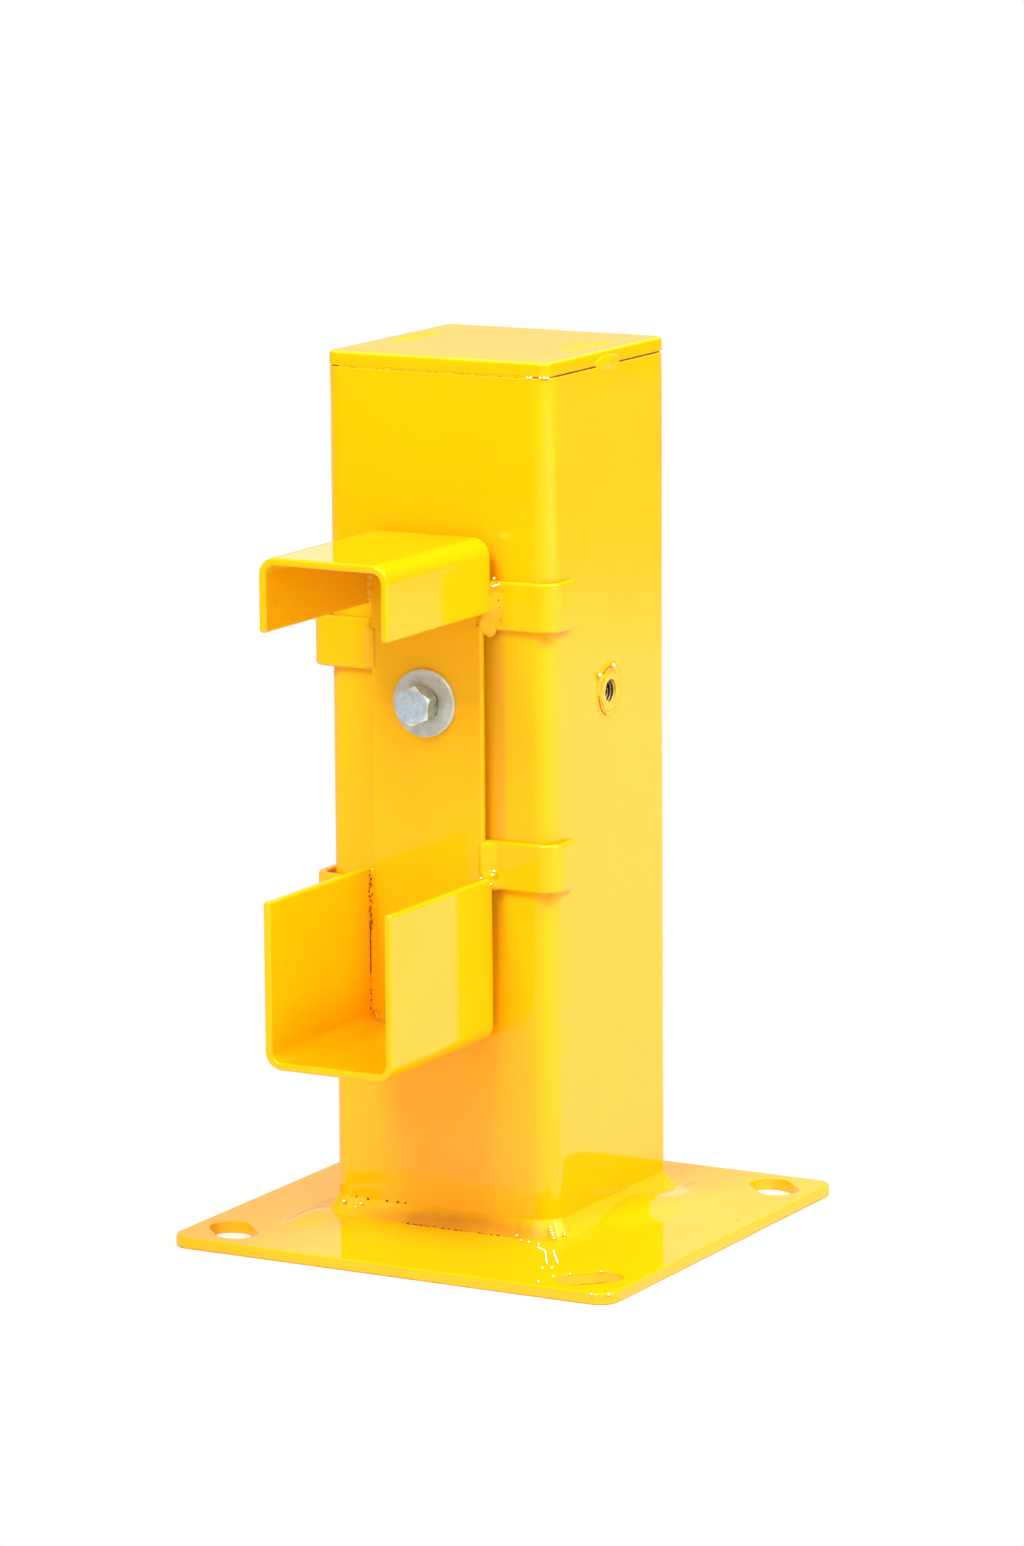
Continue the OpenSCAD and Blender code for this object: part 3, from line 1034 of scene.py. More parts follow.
class PitTree(GrowTree):
    """Small dark pits and burrs scattered along a path."""

    NAME = "crevice_marks"
    INPUTS: Inputs = {"Spacing": 1.2 * MM, "Share": 0.5, "Smallest": 0.15 * MM, "Largest": 0.45 * MM,
                      "Stretch": 1.8, "Jitter": 0.4 * MM, "Seed": 1}

    def build(self, net: Net, given: Outputs) -> Socket:
        """Puts uneven grains at random places along the path, stretched along it.

        Args:
            net: of the tree.
            given: the tree's inputs.

        Returns:
            The geometry.
        """
        seed, jitter = given["Seed"], given["Jitter"]
        spots = net.add("GeometryNodeCurveToPoints", {"Curve": given["Geometry"], "Length": given["Spacing"]},
                        mode="LENGTH").outputs
        low = net.times(jitter, -1.0)
        bounds = {"Min": net.joined(low, low, low), "Max": net.joined(jitter, jitter, jitter), "Seed": seed}
        shift = net.put("FunctionNodeRandomValue", bounds, data_type="FLOAT_VECTOR")
        points = net.put("GeometryNodeSetPosition", {"Geometry": spots["Points"], "Offset": shift})
        sizes = {2: given["Smallest"], 3: given["Largest"], "Seed": net.plus(seed, 7)}
        size = net.add("FunctionNodeRandomValue", sizes, data_type="FLOAT").outputs[1]
        scale = net.joined(net.times(size, given["Stretch"]), size, size)
        draw = {"Probability": given["Share"], "Seed": net.plus(seed, 13)}
        chosen = net.add("FunctionNodeRandomValue", draw, data_type="BOOLEAN").outputs[3]
        lie = net.put("FunctionNodeAlignRotationToVector", {"Vector": spots["Tangent"]}, axis="X")
        grain = net.put("GeometryNodeMeshIcoSphere", {"Radius": 1.0, "Subdivisions": 2})
        scatter = net.put("GeometryNodeInstanceOnPoints", {
            "Points": points, "Selection": chosen, "Instance": grain, "Rotation": lie, "Scale": scale})
        real = net.put("GeometryNodeRealizeInstances", {"Geometry": scatter})
        place = net.put("GeometryNodeInputPosition")
        ragged = net.minus(net.noise(place, 2500.0, 1.0), 0.5)
        normal = net.put("GeometryNodeInputNormal")
        offset = net.vector("SCALE", normal, scale=net.times(ragged, given["Smallest"]))
        return net.put("GeometryNodeSetPosition", {"Geometry": real, "Offset": offset})


class ThreadTree(GrowTree):
    """A helical ridge about +Z, starting at height zero."""

    NAME = "thread_ridge"
    INPUTS: Inputs = {"Section": "Object", "Radius": 6.0 * MM, "Pitch": 1.75 * MM, "Turns": 6.0}

    def build(self, net: Net, given: Outputs) -> Socket:
        """Sweeps the ridge's section along a spiral.

        Args:
            net: of the tree.
            given: the tree's inputs.

        Returns:
            The geometry.
        """
        spiral = net.put("GeometryNodeCurveSpiral", {
            "Resolution": 40, "Rotations": given["Turns"], "Start Radius": given["Radius"],
            "End Radius": given["Radius"], "Height": net.times(given["Pitch"], given["Turns"])})
        return self.sweep(net, spiral, given["Section"], (0.0, 0.0, 1.0), 1.0)


@dataclass(frozen=True)
class BeadStyle:
    """How a weld bead was laid, with lengths in millimetres."""

    step: float
    pitch: float
    ripple: float
    lump_size: float
    lump: float
    end: float = 0.0

    def values(self, seed: int) -> dict[str, Any]:
        """Gives the inputs of the tree that grows beads.

        Args:
            seed: picks the unevenness.

        Returns:
            Values by the names of the inputs.
        """
        return {"Step": self.step * MM, "End": self.end * MM, "Ripple Pitch": self.pitch * MM,
                "Ripple": self.ripple * MM, "Lump Size": self.lump_size * MM, "Lump": self.lump * MM,
                "Seed": seed}


@dataclass(frozen=True)
class PitStyle:
    """How dark pits scatter along a line, with lengths in millimetres."""

    spacing: float
    share: float
    smallest: float
    largest: float
    stretch: float
    jitter: float
    finish: Finish = SCORCH_AND_SHADE

    def values(self, seed: int) -> dict[str, Any]:
        """Gives the inputs of the tree that scatters pits.

        Args:
            seed: picks the scatter.

        Returns:
            Values by the names of the inputs.
        """
        return {"Spacing": self.spacing * MM, "Share": self.share, "Smallest": self.smallest * MM,
                "Largest": self.largest * MM, "Stretch": self.stretch, "Jitter": self.jitter * MM,
                "Seed": seed}


@dataclass(frozen=True)
class ThreadForm:
    """Form of a thread on a round wall. The height of its ridge is negative towards the axis."""

    radius: float
    ridge: float
    pitch: float = 1.75 * MM
    foot_share: float = 0.34
    crest_share: float = 0.2

    def section(self) -> Outline:
        """Gives the section of the ridge, with its foot sunk into the wall.

        Returns:
            The closed outline.
        """
        half = self.pitch * self.foot_share
        sunk = -copysign(0.3 * MM, self.ridge)
        crest = half * self.crest_share
        section = [(-half, sunk), (half, sunk), (crest, self.ridge), (-crest, self.ridge)]
        return section if self.ridge > 0 else section[::-1]


class Workshop:
    """Grows weld metal, pits and threads, dresses pieces and hands them to the frame."""

    def __init__(self) -> None:
        """Builds the trees that grow pieces along paths."""
        self.bead_tree = WeldBeadTree()
        self.pit_tree = PitTree()
        self.thread_tree = ThreadTree()

    def dress(self, piece: Piece, finish: Finish, *nodes: str, slot: Slot = Slot.COAT) -> None:
        """Gives a piece its material and body, and hides the CAD nodes that it stands for.

        Args:
            piece: a plain mesh object.
            finish: its material.
            nodes: CAD nodes that it replaces.
            slot: not used.
        """
        piece.data.materials.clear()
        piece.data.materials.append(finish.material())
        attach(piece, BODY)
        if nodes:
            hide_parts(*nodes)
        LOG.info("%s: %d faces, for %s", piece.name, len(piece.data.polygons), ", ".join(nodes) or "detail")

    def keep(self, node: str, finish: Finish) -> None:
        """Keeps a CAD node as it is, with a better material.

        Args:
            node: its name.
            finish: its new material.
        """
        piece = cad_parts[node]
        for place in piece.material_slots:
            place.material = finish.material()
        LOG.info("%s: kept from the frame", node)

    def bead(self, name: str, path: Sequence[Vector], section: Outline, style: BeadStyle, seed: int,
             *nodes: str, up: Sequence[float] = (0.0, 0.0, 1.0), finish: Finish = WELD_COAT,
             closed: bool = False) -> None:
        """Grows weld metal along a path and dresses it.

        Args:
            name: of the piece.
            path: points in metres.
            section: closed outline as (along up, sideways) in metres, counter-clockwise.
            style: how the bead was laid.
            seed: picks the unevenness.
            nodes: CAD nodes that it replaces.
            up: direction of the section's first axis.
            finish: material.
            closed: true for a ring.
        """
        values = {"Up": tuple(up), **style.values(seed)}
        piece = self.bead_tree.grow(path_curve(name, path, closed), finish, values, section)
        self.dress(piece, finish, *nodes)

    def pit(self, name: str, path: Sequence[Vector], style: PitStyle, seed: int) -> None:
        """Scatters dark pits along a path and dresses them as one piece."""
        piece = self.pit_tree.grow(path_curve(name, path, False), style.finish, style.values(seed))
        self.dress(piece, style.finish)

    def thread(self, name: str, form: ThreadForm, turns: float, place: Matrix, finish: Finish,
               slot: Slot = Slot.COAT) -> None:
        """Grows a thread ridge and dresses it.

        Args:
            name: of the piece.
            form: its radius, pitch and section.
            turns: its length in turns.
            place: matrix from the thread to the model.
            finish: material.
            slot: material slot of the record.
        """
        host = new_object(name, bpy.data.meshes.new(name))
        values = {"Radius": form.radius, "Pitch": form.pitch, "Turns": turns}
        piece = self.thread_tree.grow(host, finish, values, form.section())
        piece.data.transform(place)
        self.dress(piece, finish, slot=slot)


def fillet_section(up: float, out: float, bulge: float, sink: float, steps: int = 10) -> Outline:
    """Gives the section of a fillet weld in the corner between a wall and a plate.

    Args:
        up: leg on the wall.
        out: leg on the plate.
        bulge: how far the face stands out in its middle, or in if it is negative.
        sink: how far the metal reaches into both.
        steps: segments of the face.

    Returns:
        The closed outline as (up, out) pairs.
    """
    face = []
    for k in range(steps + 1):
        t = k / steps
        rise = bulge * sin(pi * t) * sqrt(0.5)
        face.append((up * (1 - t) + rise, out * t + rise))
    return [(-sink, -sink), (up + 0.3 * MM, -sink)] + face + [(-sink, out + 0.3 * MM)]


@dataclass
class Assembly:
    """Base of the sub-assemblies, which share one workshop."""

    shop: Workshop

    def build(self) -> None:
        """Builds and dresses all pieces. Each sub-assembly has its own way."""
        raise NotImplementedError


@dataclass
class Post(Assembly):
    """The square tube with its base plate, its cap and the welds between them.

    The rows of drops and marks are in millimetres, the other sizes in metres.
    """

    half: float = highest("post_tube").x
    tube_top: float = highest("post_tube").z
    foot: float = highest("base_plate").z
    plate_x: float = middle("base_plate").x
    plate_y: float = middle("base_plate").y
    plate_width: float = span("base_plate").x
    cap_low: float = lowest("cap_plate").z
    cap_top: float = highest("cap_plate").z
    cap_width: float = span("cap_plate").x
    nut_side: float = middle("nut_front").x
    nut_height: float = middle("nut_front").z
    corner: float = 11 * MM
    wall: float = 5 * MM
    tube_rim: float = 0.8 * MM
    nut_seat: float = 12.4 * MM
    plate_corner: float = 10 * MM
    plate_edge: float = 1.0 * MM
    slot_rim: float = 0.4 * MM
    slot_edge: float = 23.5 * MM
    slot_width: float = 21 * MM
    slot_length: float = 34.4 * MM
    cap_corner: float = 5 * MM
    cap_edge: float = 1.7 * MM
    cap_foot: float = 0.4 * MM
    gap_fill: float = 1.0 * MM
    gap_shade_inset: float = 1.4 * MM
    gap_coat_inset: float = 0.45 * MM
    gap_wall: float = 1.0 * MM
    plug_reach: Point = (3.72 * MM, 21 * MM, 0.9 * MM)
    plug_sink: float = 0.35 * MM
    tack_inset: float = 1.6 * MM
    tack_thickness: float = 2.0 * MM
    tack_lift: float = 0.4 * MM
    weld_leg: float = 8 * MM
    foot_bead: BeadStyle = BeadStyle(step=0.9, pitch=3.4, ripple=0.03, lump_size=14, lump=0.5)
    stop_bead: BeadStyle = BeadStyle(step=0.6, pitch=3.6, ripple=0.05, lump_size=9, lump=0.3, end=7)
    stop_before: float = 12 * MM
    stop_after: float = 4 * MM
    gap_beads: tuple[Point, ...] = (
        (51.8, -62.9, 0.9), (53.5, -62.9, 1.0), (58.2, -61.6, 0.9), (59.8, -60.6, 1.1), (61.1, -59.5, 0.9))
    spatter: tuple[DropRow, ...] = (
        (86.0, -115.5, 6.1, 1.0), (89.6, -113.0, 6.1, 1.0), (95.7, -138.0, 6.0, 1.0),
        (97.4, -126.1, 6.0, 0.8), (102.4, -118.5, 6.0, 0.8), (114.2, -108.0, 6.0, 0.8),
        (47.6, -72.0, 7.6, 0.8), (52.0, -75.5, 6.6, 0.6), (57.0, -76.8, 6.5, 0.8),
        (63.0, -77.5, 6.4, 0.8), (68.5, -60.5, 8.2, 0.9), (-54.3, -67.0, 12.0, 1.0),
        (-44.5, -67.0, 12.0, 0.7), (-46.5, -69.0, 10.5, 0.6), (128.4, -145.0, 5.4, 0.9),
        (136.2, -141.6, 5.5, 1.0))
    trickles: tuple[tuple[Point, Point, int, float], ...] = (
        ((65.5, -82.9, 6.3), (71.3, -86.7, 6.3), 4, 0.7), ((73.5, -89.8, 6.3), (83.0, -106.1, 6.3), 6, 0.8),
        ((75.5, -85.2, 6.3), (87.7, -103.7, 6.3), 7, 0.75), ((62.5, -64.3, 11.9), (65.8, -66.6, 7.2), 5, 0.8))
    swells: tuple[Swell, ...] = (Swell("foot_weld_wing", (-66, -80), (17, 30, 10, 32), 2.5, 14),
                                 Swell("foot_weld_skirt", (66, 8), (34, 58, 6, 52), 4.4, 15))
    # Painted shadow: points of a line of dark grains inside the near slot, standing for the floor's shade
    # seen through it.
    slot_line: tuple[tuple[float, float], ...] = (
        (113.2, -136.5), (116.1, -133.6), (119.7, -130.1), (124.2, -125.3))
    toe_burrs: PitStyle = PitStyle(1.0, 0.40, 0.15, 0.48, stretch=1.8, jitter=0.35)
    wall_pits: PitStyle = PitStyle(3.2, 0.5, 0.25, 0.6, stretch=1.3, jitter=0.6)
    slot_painted_shadow: PitStyle = PitStyle(0.5, 1.0, 0.28, 0.42, stretch=1.8, jitter=0.03, finish=STAIN_AND_SHADE)
    gap_stain: PitStyle = PitStyle(0.9, 0.6, 0.12, 0.28, stretch=3.0, jitter=0.10, finish=STAIN_AND_SHADE)
    coat: GlossCoat = GlossCoat("tube_coat", marks=(
        Mark((63.5, -30.3, 305.7), (2, 7, 5), (0.80, 0.42, 0.010), 0.35, 500.0),
        Mark((63.5, -14.7, 296.0), (2, 8, 3), (0.78, 0.44, 0.012), 0.35, 600.0),
        Mark((63.5, -29.7, 259.2), (2, 9, 2), (0.82, 0.46, 0.010), 0.40, 400.0),
        Mark((38.4, -63.5, 357.0), (5, 2, 2), (1.0, 0.66, 0.060), 0.6, 300.0),
        # Painted sheen: this mark paints the whole top of the cap a paler yellow, standing in for its pale
        # reflection.
        Mark((0.0, 0.0, 442.0), (400, 400, 1.3), (0.98, 0.62, 0.0012), 1.0, 300.0, 0.0),
        # Painted shadow: this mark darkens a brown-orange band on the front face beside the bracket plate's
        # right edge, where the plate casts its shade.
        Mark((34.0, -63.5, 250.0), (7, 4, 130), (0.78, 0.36, 0.012), 0.8, 300.0, 0.0)))
    plate_coat: GlossCoat = GlossCoat("base_coat", wave=1.6e-5, marks=(
        Mark((-74, -52, 6), (4, 26, 2), (0.62, 0.20, 0.05), 0.32, 120.0),
        Mark((74, 60, 6), (3, 20, 2), (0.62, 0.20, 0.05), 0.28, 120.0),
        Mark((128.2, 10.3, 6), (1.2, 1.2, 2), (0.20, 0.07, 0.01), 0.8, 300.0)))
    # The foot weld's mark is painted shadow: it darkens the front of the weld, where the lower channel casts
    # its shade.
    foot_coat: GlossCoat = GlossCoat("foot_weld_coat", gloss=0.34, density=1.3, marks=(
        Mark((16, -70, 9), (80, 9, 12), (0.62, 0.25, 0.015), 0.85, 60.0, 0.15),))
    plug_coat: GlossCoat = GlossCoat("plug_coat", gloss=0.30, dimple=1.5e-5)

    def build(self) -> None:
        """Builds and dresses all pieces of the post."""
        self.build_base()
        self.build_tube()
        self.build_cap()
        self.build_gap()
        self.build_foot_weld()
        self.build_drops()
        self.build_pits()
        for side in ("left", "right"):
            self.shop.keep("cap_lug_" + side, self.coat)

    def build_base(self) -> None:
        """Builds the base plate with its four anchor slots, which lie square to the diagonals."""
        reach = (self.plate_width / 2 - self.slot_edge) * sqrt(2)
        slot = slot_loop(self.slot_length, self.slot_width)
        holes = []
        for turn in (45, 135, 225, 315):
            angle = radians(turn)
            holes.append(moved(slot, (reach * cos(angle), reach * sin(angle)), turn + 90))
        outline = rectangle(self.plate_width, self.plate_width, self.plate_corner)
        plate = soft_solid("base_plate_sheet", outline, holes, self.foot, self.plate_edge,
                           Matrix.Translation((self.plate_x, self.plate_y, 0.0)), rim=self.slot_rim)
        self.shop.dress(plate, self.plate_coat, "base_plate")

    def build_tube(self) -> None:
        """Builds the tube and opens its walls where the nuts sit."""
        outer = rectangle(2 * self.half, 2 * self.half, self.corner, 12)
        inner = rectangle(2 * (self.half - self.wall), 2 * (self.half - self.wall), self.corner - self.wall)
        tube = soft_solid("post_tube_wall", outer, [inner], self.tube_top - self.foot, self.tube_rim,
                          Matrix.Translation((0.0, 0.0, self.foot)))
        cutters = []
        for face in Face:
            through = face.place(self.half - 2 * self.wall, self.nut_height, self.nut_side)
            cutters.append(soft_solid("cutter", circle(self.nut_seat), [], 3 * self.wall, 0.5 * MM, through))
            cut = tube.modifiers.new("seat", "BOOLEAN")
            cut.object = cutters[-1]
            cut.operation = "DIFFERENCE"
            cut.solver = "EXACT"
        tube = evened(tube)
        for cutter in cutters:
            bpy.data.objects.remove(cutter)
        self.shop.dress(tube, self.coat, "post_tube")

    def build_cap(self) -> None:
        """Builds the cap, its two plug welds and the tack weld on its right edge."""
        cap = soft_solid("cap_plate_sheet", rectangle(self.cap_width, self.cap_width, self.cap_corner), [],
                         self.cap_top - self.cap_low, self.cap_edge, Matrix.Translation((0, 0, self.cap_low)),
                         steps=5, foot=self.cap_foot)
        self.shop.dress(cap, self.coat, "cap_plate")
        for side, turn, seed in (("left", -5, 3), ("right", -8, 4)):
            spot = middle("cap_plug_" + side)
            place = Matrix.Translation((spot.x, spot.y, self.cap_top - self.plug_sink))
            place @= Matrix.Rotation(radians(turn), 4, "Z")
            plug = lump(f"cap_plug_{side}_metal", self.plug_reach, place, bump=0.6 * MM, grain=2.4 * MM,
                        seed=seed, square=2.6, detail=6)
            self.shop.dress(plug, self.plug_coat, "cap_plug_" + side)
        spot, size = middle("cap_tack"), span("cap_tack") / 2
        place = Matrix.Translation((self.half - self.tack_inset, spot.y, spot.z + self.tack_lift))
        reach = (self.tack_thickness, size.y + 2 * self.tack_lift, size.z - self.tack_lift)
        tack = lump("cap_tack_metal", reach, place, bump=0.3 * MM, grain=4 * MM, seed=11, square=2.2,
                    detail=6)
        self.shop.dress(tack, WELD_COAT, "cap_tack")

    def build_gap(self) -> None:
        """Closes the gap under the cap: with coat at the front, and with a ring of dark steel at the other
        sides, which is painted shade for the dark of the gap.
        """
        level = (self.tube_top + self.cap_low) / 2
        place = Matrix.Translation((0, 0, level - self.gap_fill / 2))
        side = 2 * (self.half - self.gap_shade_inset)
        corner = self.corner - self.gap_shade_inset
        ring = rectangle(side, side, corner, 12)
        hole = rectangle(side - 2 * self.gap_wall, side - 2 * self.gap_wall, corner - self.gap_wall, 12)
        # The dark ring is painted shade: it keeps the gap dark whatever light falls into it.
        shade = soft_solid("cap_gap_dark", ring, [hole], self.gap_fill, 0.05 * MM, place, steps=1)
        self.shop.dress(shade, SCORCH_AND_SHADE)
        bar = rectangle(2 * (self.half - self.corner) + 3 * MM, 2 * self.gap_wall, 0.2 * MM, 2)
        bar = moved(bar, (0, self.gap_coat_inset + self.gap_wall - self.half))
        filler = soft_solid("cap_gap_coat", bar, [], self.gap_fill, 0.05 * MM, place, steps=1)
        self.shop.dress(filler, self.coat)
        drops = drops_at((x, y, level / MM, r) for x, y, r in self.gap_beads)
        self.shop.dress(spatter("cap_gap_beads", drops, 17), BEAD_COAT)

    def build_foot_weld(self) -> None:
        """Runs the fillet weld round the foot of the tube, and its thicker stop at the near corner."""
        around = rectangle(2 * self.half, 2 * self.half, self.corner, 14)
        path = [Vector((p.x, p.y, self.foot)) for p, _ in around]
        section = fillet_section(self.weld_leg, self.weld_leg - 0.6 * MM, bulge=-0.7 * MM, sink=1.2 * MM)
        self.shop.bead("foot_weld_metal", path, section, self.foot_bead, 4, "foot_weld",
                       finish=self.foot_coat, closed=True)
        turn = self.half - self.corner
        path = [Vector((turn - self.stop_before, -self.half, self.foot))]
        for angle in (pi / 2 * k / 14 for k in range(15)):
            x, y = self.corner * sin(angle), self.corner * cos(angle)
            path.append(Vector((turn + x, -turn - y, self.foot)))
        path.append(Vector((self.half, -turn + self.stop_after, self.foot)))
        section = fillet_section(self.weld_leg + 0.7 * MM, self.weld_leg - 1.8 * MM, bulge=0.15 * MM,
                                 sink=1.5 * MM)
        self.shop.bead("foot_weld_stop", path, section, self.stop_bead, 12, finish=self.foot_coat)

    def build_drops(self) -> None:
        """Adds the drops of spatter, the trickles of drops and the low swells beside the foot weld."""
        rows = list(self.spatter)
        for first, last, count, size in self.trickles:
            rows += [(*Vector(first).lerp(Vector(last), k / (count - 1)), size) for k in range(count)]
        self.shop.dress(spatter("foot_weld_spatter", drops_at(rows), 5), BEAD_COAT)
        for low in self.swells:
            self.shop.dress(low.build(self.foot), self.plate_coat)

    def build_pits(self) -> None:
        """Adds the dark pits along the foot weld and in the gap under the cap, and the line of painted shadow
        at the near slot.
        """
        front = -self.half
        toe = (front - self.weld_leg - 0.3 * MM, self.foot + 0.05 * MM)
        wall = (front - 0.1 * MM, self.foot + self.weld_leg)
        gap = (front + 0.5 * MM, self.tube_top + 0.15 * MM)
        for name, ends, (y, z), style, seed in (("foot_toe_burrs", (-26, 42), toe, self.toe_burrs, 5),
                                                ("foot_wall_pits", (-52, -14), wall, self.wall_pits, 9),
                                                ("cap_gap_stain", (-52, 47), gap, self.gap_stain, 21)):
            self.shop.pit(name, [Vector((x * MM, y, z)) for x in ends], style, seed)
        # The line at the near slot is painted shadow: dark grains where the floor's shade shows through the
        # slot.
        line = [Vector((x * MM, y * MM, self.foot - 0.2 * MM)) for x, y in self.slot_line]
        self.shop.pit("slot_line", line, self.slot_painted_shadow, 6)


@dataclass
class WeldNuts(Assembly):
    """Four threaded nuts set into the walls of the post, each in a ring of weld metal."""

    half: float = highest("post_tube").x
    side: float = middle("nut_right").y
    height: float = middle("nut_right").z
    proud: float = highest("nut_right").x - highest("post_tube").x
    thickness: float = 11 * MM
    across: float = 20 * MM
    bore: float = 5.7 * MM
    ridge: ThreadForm = ThreadForm(5.7 * MM, -0.75 * MM)
    bright_ridge: ThreadForm = ThreadForm(5.7 * MM, -0.95 * MM, foot_share=0.2, crest_share=0.9)
    bright_turns: float = 2.6
    seat: float = 12.4 * MM
    bed_depth: float = 5 * MM
    ring_in: float = 11.0 * MM
    ring_out: float = 15.2 * MM
    ring_rise: float = 0.55 * MM
    ring_bead: BeadStyle = BeadStyle(step=0.7, pitch=2.6, ripple=0.04, lump_size=6, lump=0.35)
    tacks: tuple[Point, ...] = ((-12.4, 9.7, 1.4), (2.2, 12.3, 1.4))
    seam: PitStyle = PitStyle(0.45, 0.9, 0.25, 0.62, stretch=2.2, jitter=0.14, finish=STAIN_AND_SHADE)
    coat: GlossCoat = GlossCoat("nut_coat", colour=(0.96, 0.51, 0.0015), gloss=0.08)
    # Painted light and shade in the bore: the turns at the mouth are a bright gold that stands for lit thread
    # reflecting the yellow coat, and the deep turns and the bore are a near-black painted shade.
    steel: ZincPlate = ZincPlate("bare_thread", colour=(1.0, 0.84, 0.36), patch=(1.0, 0.68, 0.18),
                                 roughness=0.40, metallic=0.2)
    painted_shade_steel: ZincPlate = ZincPlate("dark_thread", colour=(0.10, 0.04, 0.010), patch=(0.05, 0.02, 0.006),
                                      roughness=0.85, metallic=0.0)

    def build(self) -> None:
        """Builds the nut and its weld metal on each side of the post."""
        for seed, face in enumerate(Face):
            self.build_nut(face)
            self.build_weld(face, seed)

    def build_nut(self, face: Face) -> None:
        """Builds one nut with its bore, its dark thread and the bright turns at its mouth: the bore and the
        deep thread are painted near black as shade, the turns at the mouth a bright gold as painted light.

        Args:
            face: side of the post.
        """
        side = face.name.lower()
        inner = face.place(self.half, self.height, self.side)
        inner @= Matrix.Translation((0, 0, self.proud - self.thickness))
        nut = hex_solid(f"nut_{side}_body", self.across, self.thickness, self.across / 2 - 0.2 * MM,
                        self.bore, inner, edge=0.35 * MM)
        self.shop.dress(nut, self.coat, "nut_" + side)
        whole = (self.thickness - 0.8 * MM) / self.ridge.pitch
        for word, form, turns, steel in (("ridge", self.ridge, whole, self.painted_shade_steel),
                                         ("crest", self.bright_ridge, self.bright_turns, self.steel)):
            start = Matrix.Translation((0, 0, self.thickness - 0.4 * MM - turns * form.pitch))
            self.shop.thread(f"nut_{side}_thread_{word}", form, turns, inner @ start, steel)
        # The bore's sleeve is painted shade, near black like the deep thread.
        sleeve = soft_solid(f"nut_{side}_bore", circle(self.bore + 0.4 * MM, 48),
                            [circle(self.bore - 0.05 * MM, 48)], self.thickness - 1.6 * MM, 0.02 * MM,
                            inner @ Matrix.Translation((0, 0, 0.3 * MM)), steps=1)
        self.shop.dress(sleeve, self.painted_shade_steel)

    def build_weld(self, face: Face, seed: int) -> None:
        """Builds the weld metal round one nut: its bed, a ring, two tacks and stained seams.

        Args:
            face: side of the post.
            seed: picks the unevenness.
        """
        side = face.name.lower()
        place = face.place(self.half, self.height, self.side)
        hole = hexagon(self.across - 0.3 * MM, 0.6 * MM)
        sunk = place @ Matrix.Translation((0, 0, 0.4 * MM - self.bed_depth))
        bed = soft_solid(f"nut_weld_{side}_bed", circle(self.seat), [hole], self.bed_depth, 0.15 * MM, sunk,
                         steps=2)
        self.shop.dress(bed, WELD_COAT)
        mean = (self.ring_in + self.ring_out) / 2
        wide = (self.ring_out - self.ring_in) / 2
        path = []
        for angle in (2 * pi * k / 48 for k in range(48)):
            x, y = cos(angle), sin(angle)
            radius = mean + 0.5 * MM * noise.noise(Vector((2 * x, 2 * y, 7.0 * seed)))
            path.append(place @ Vector((radius * x, radius * y, 0.0)))
        across = [1 - 2 * k / 12 for k in range(13)]
        crown = [self.ring_rise * (0.5 + 0.5 * cos(pi * u)) - 0.02 * MM for u in across]
        section = [(rise, wide * u) for rise, u in zip(crown, across)]
        section += [(-0.8 * MM, -wide), (-0.8 * MM, wide)]
        self.shop.bead(f"nut_weld_{side}_ring", path, section, self.ring_bead, seed + 30, "nut_weld_" + side,
                       up=place.to_3x3() @ Vector((0, 0, 1)), closed=True)
        drops = []
        for right, up, size in self.tacks:
            spot = place @ Vector((right * MM, up * MM, 0.9 * MM))
            drops.append(Drop(tuple(spot), (size * MM, size * MM, size * MM)))
        self.shop.dress(spatter(f"nut_weld_{side}_tacks", drops, seed, RIGHT_FLAT), BEAD_COAT)
        for word, first, last, radius in (("seam", 186, 248, self.seat - 0.2 * MM),
                                          ("top", 88, 128, self.seat)):
            arc = [radians(first + (last - first) * k / 8) for k in range(9)]
            rise = self.ring_rise * 0.75
            line = [place @ Vector((radius * cos(a), radius * sin(a), rise)) for a in arc]
            self.shop.pit(f"nut_weld_{side}_{word}", line, self.seam, seed + 80)


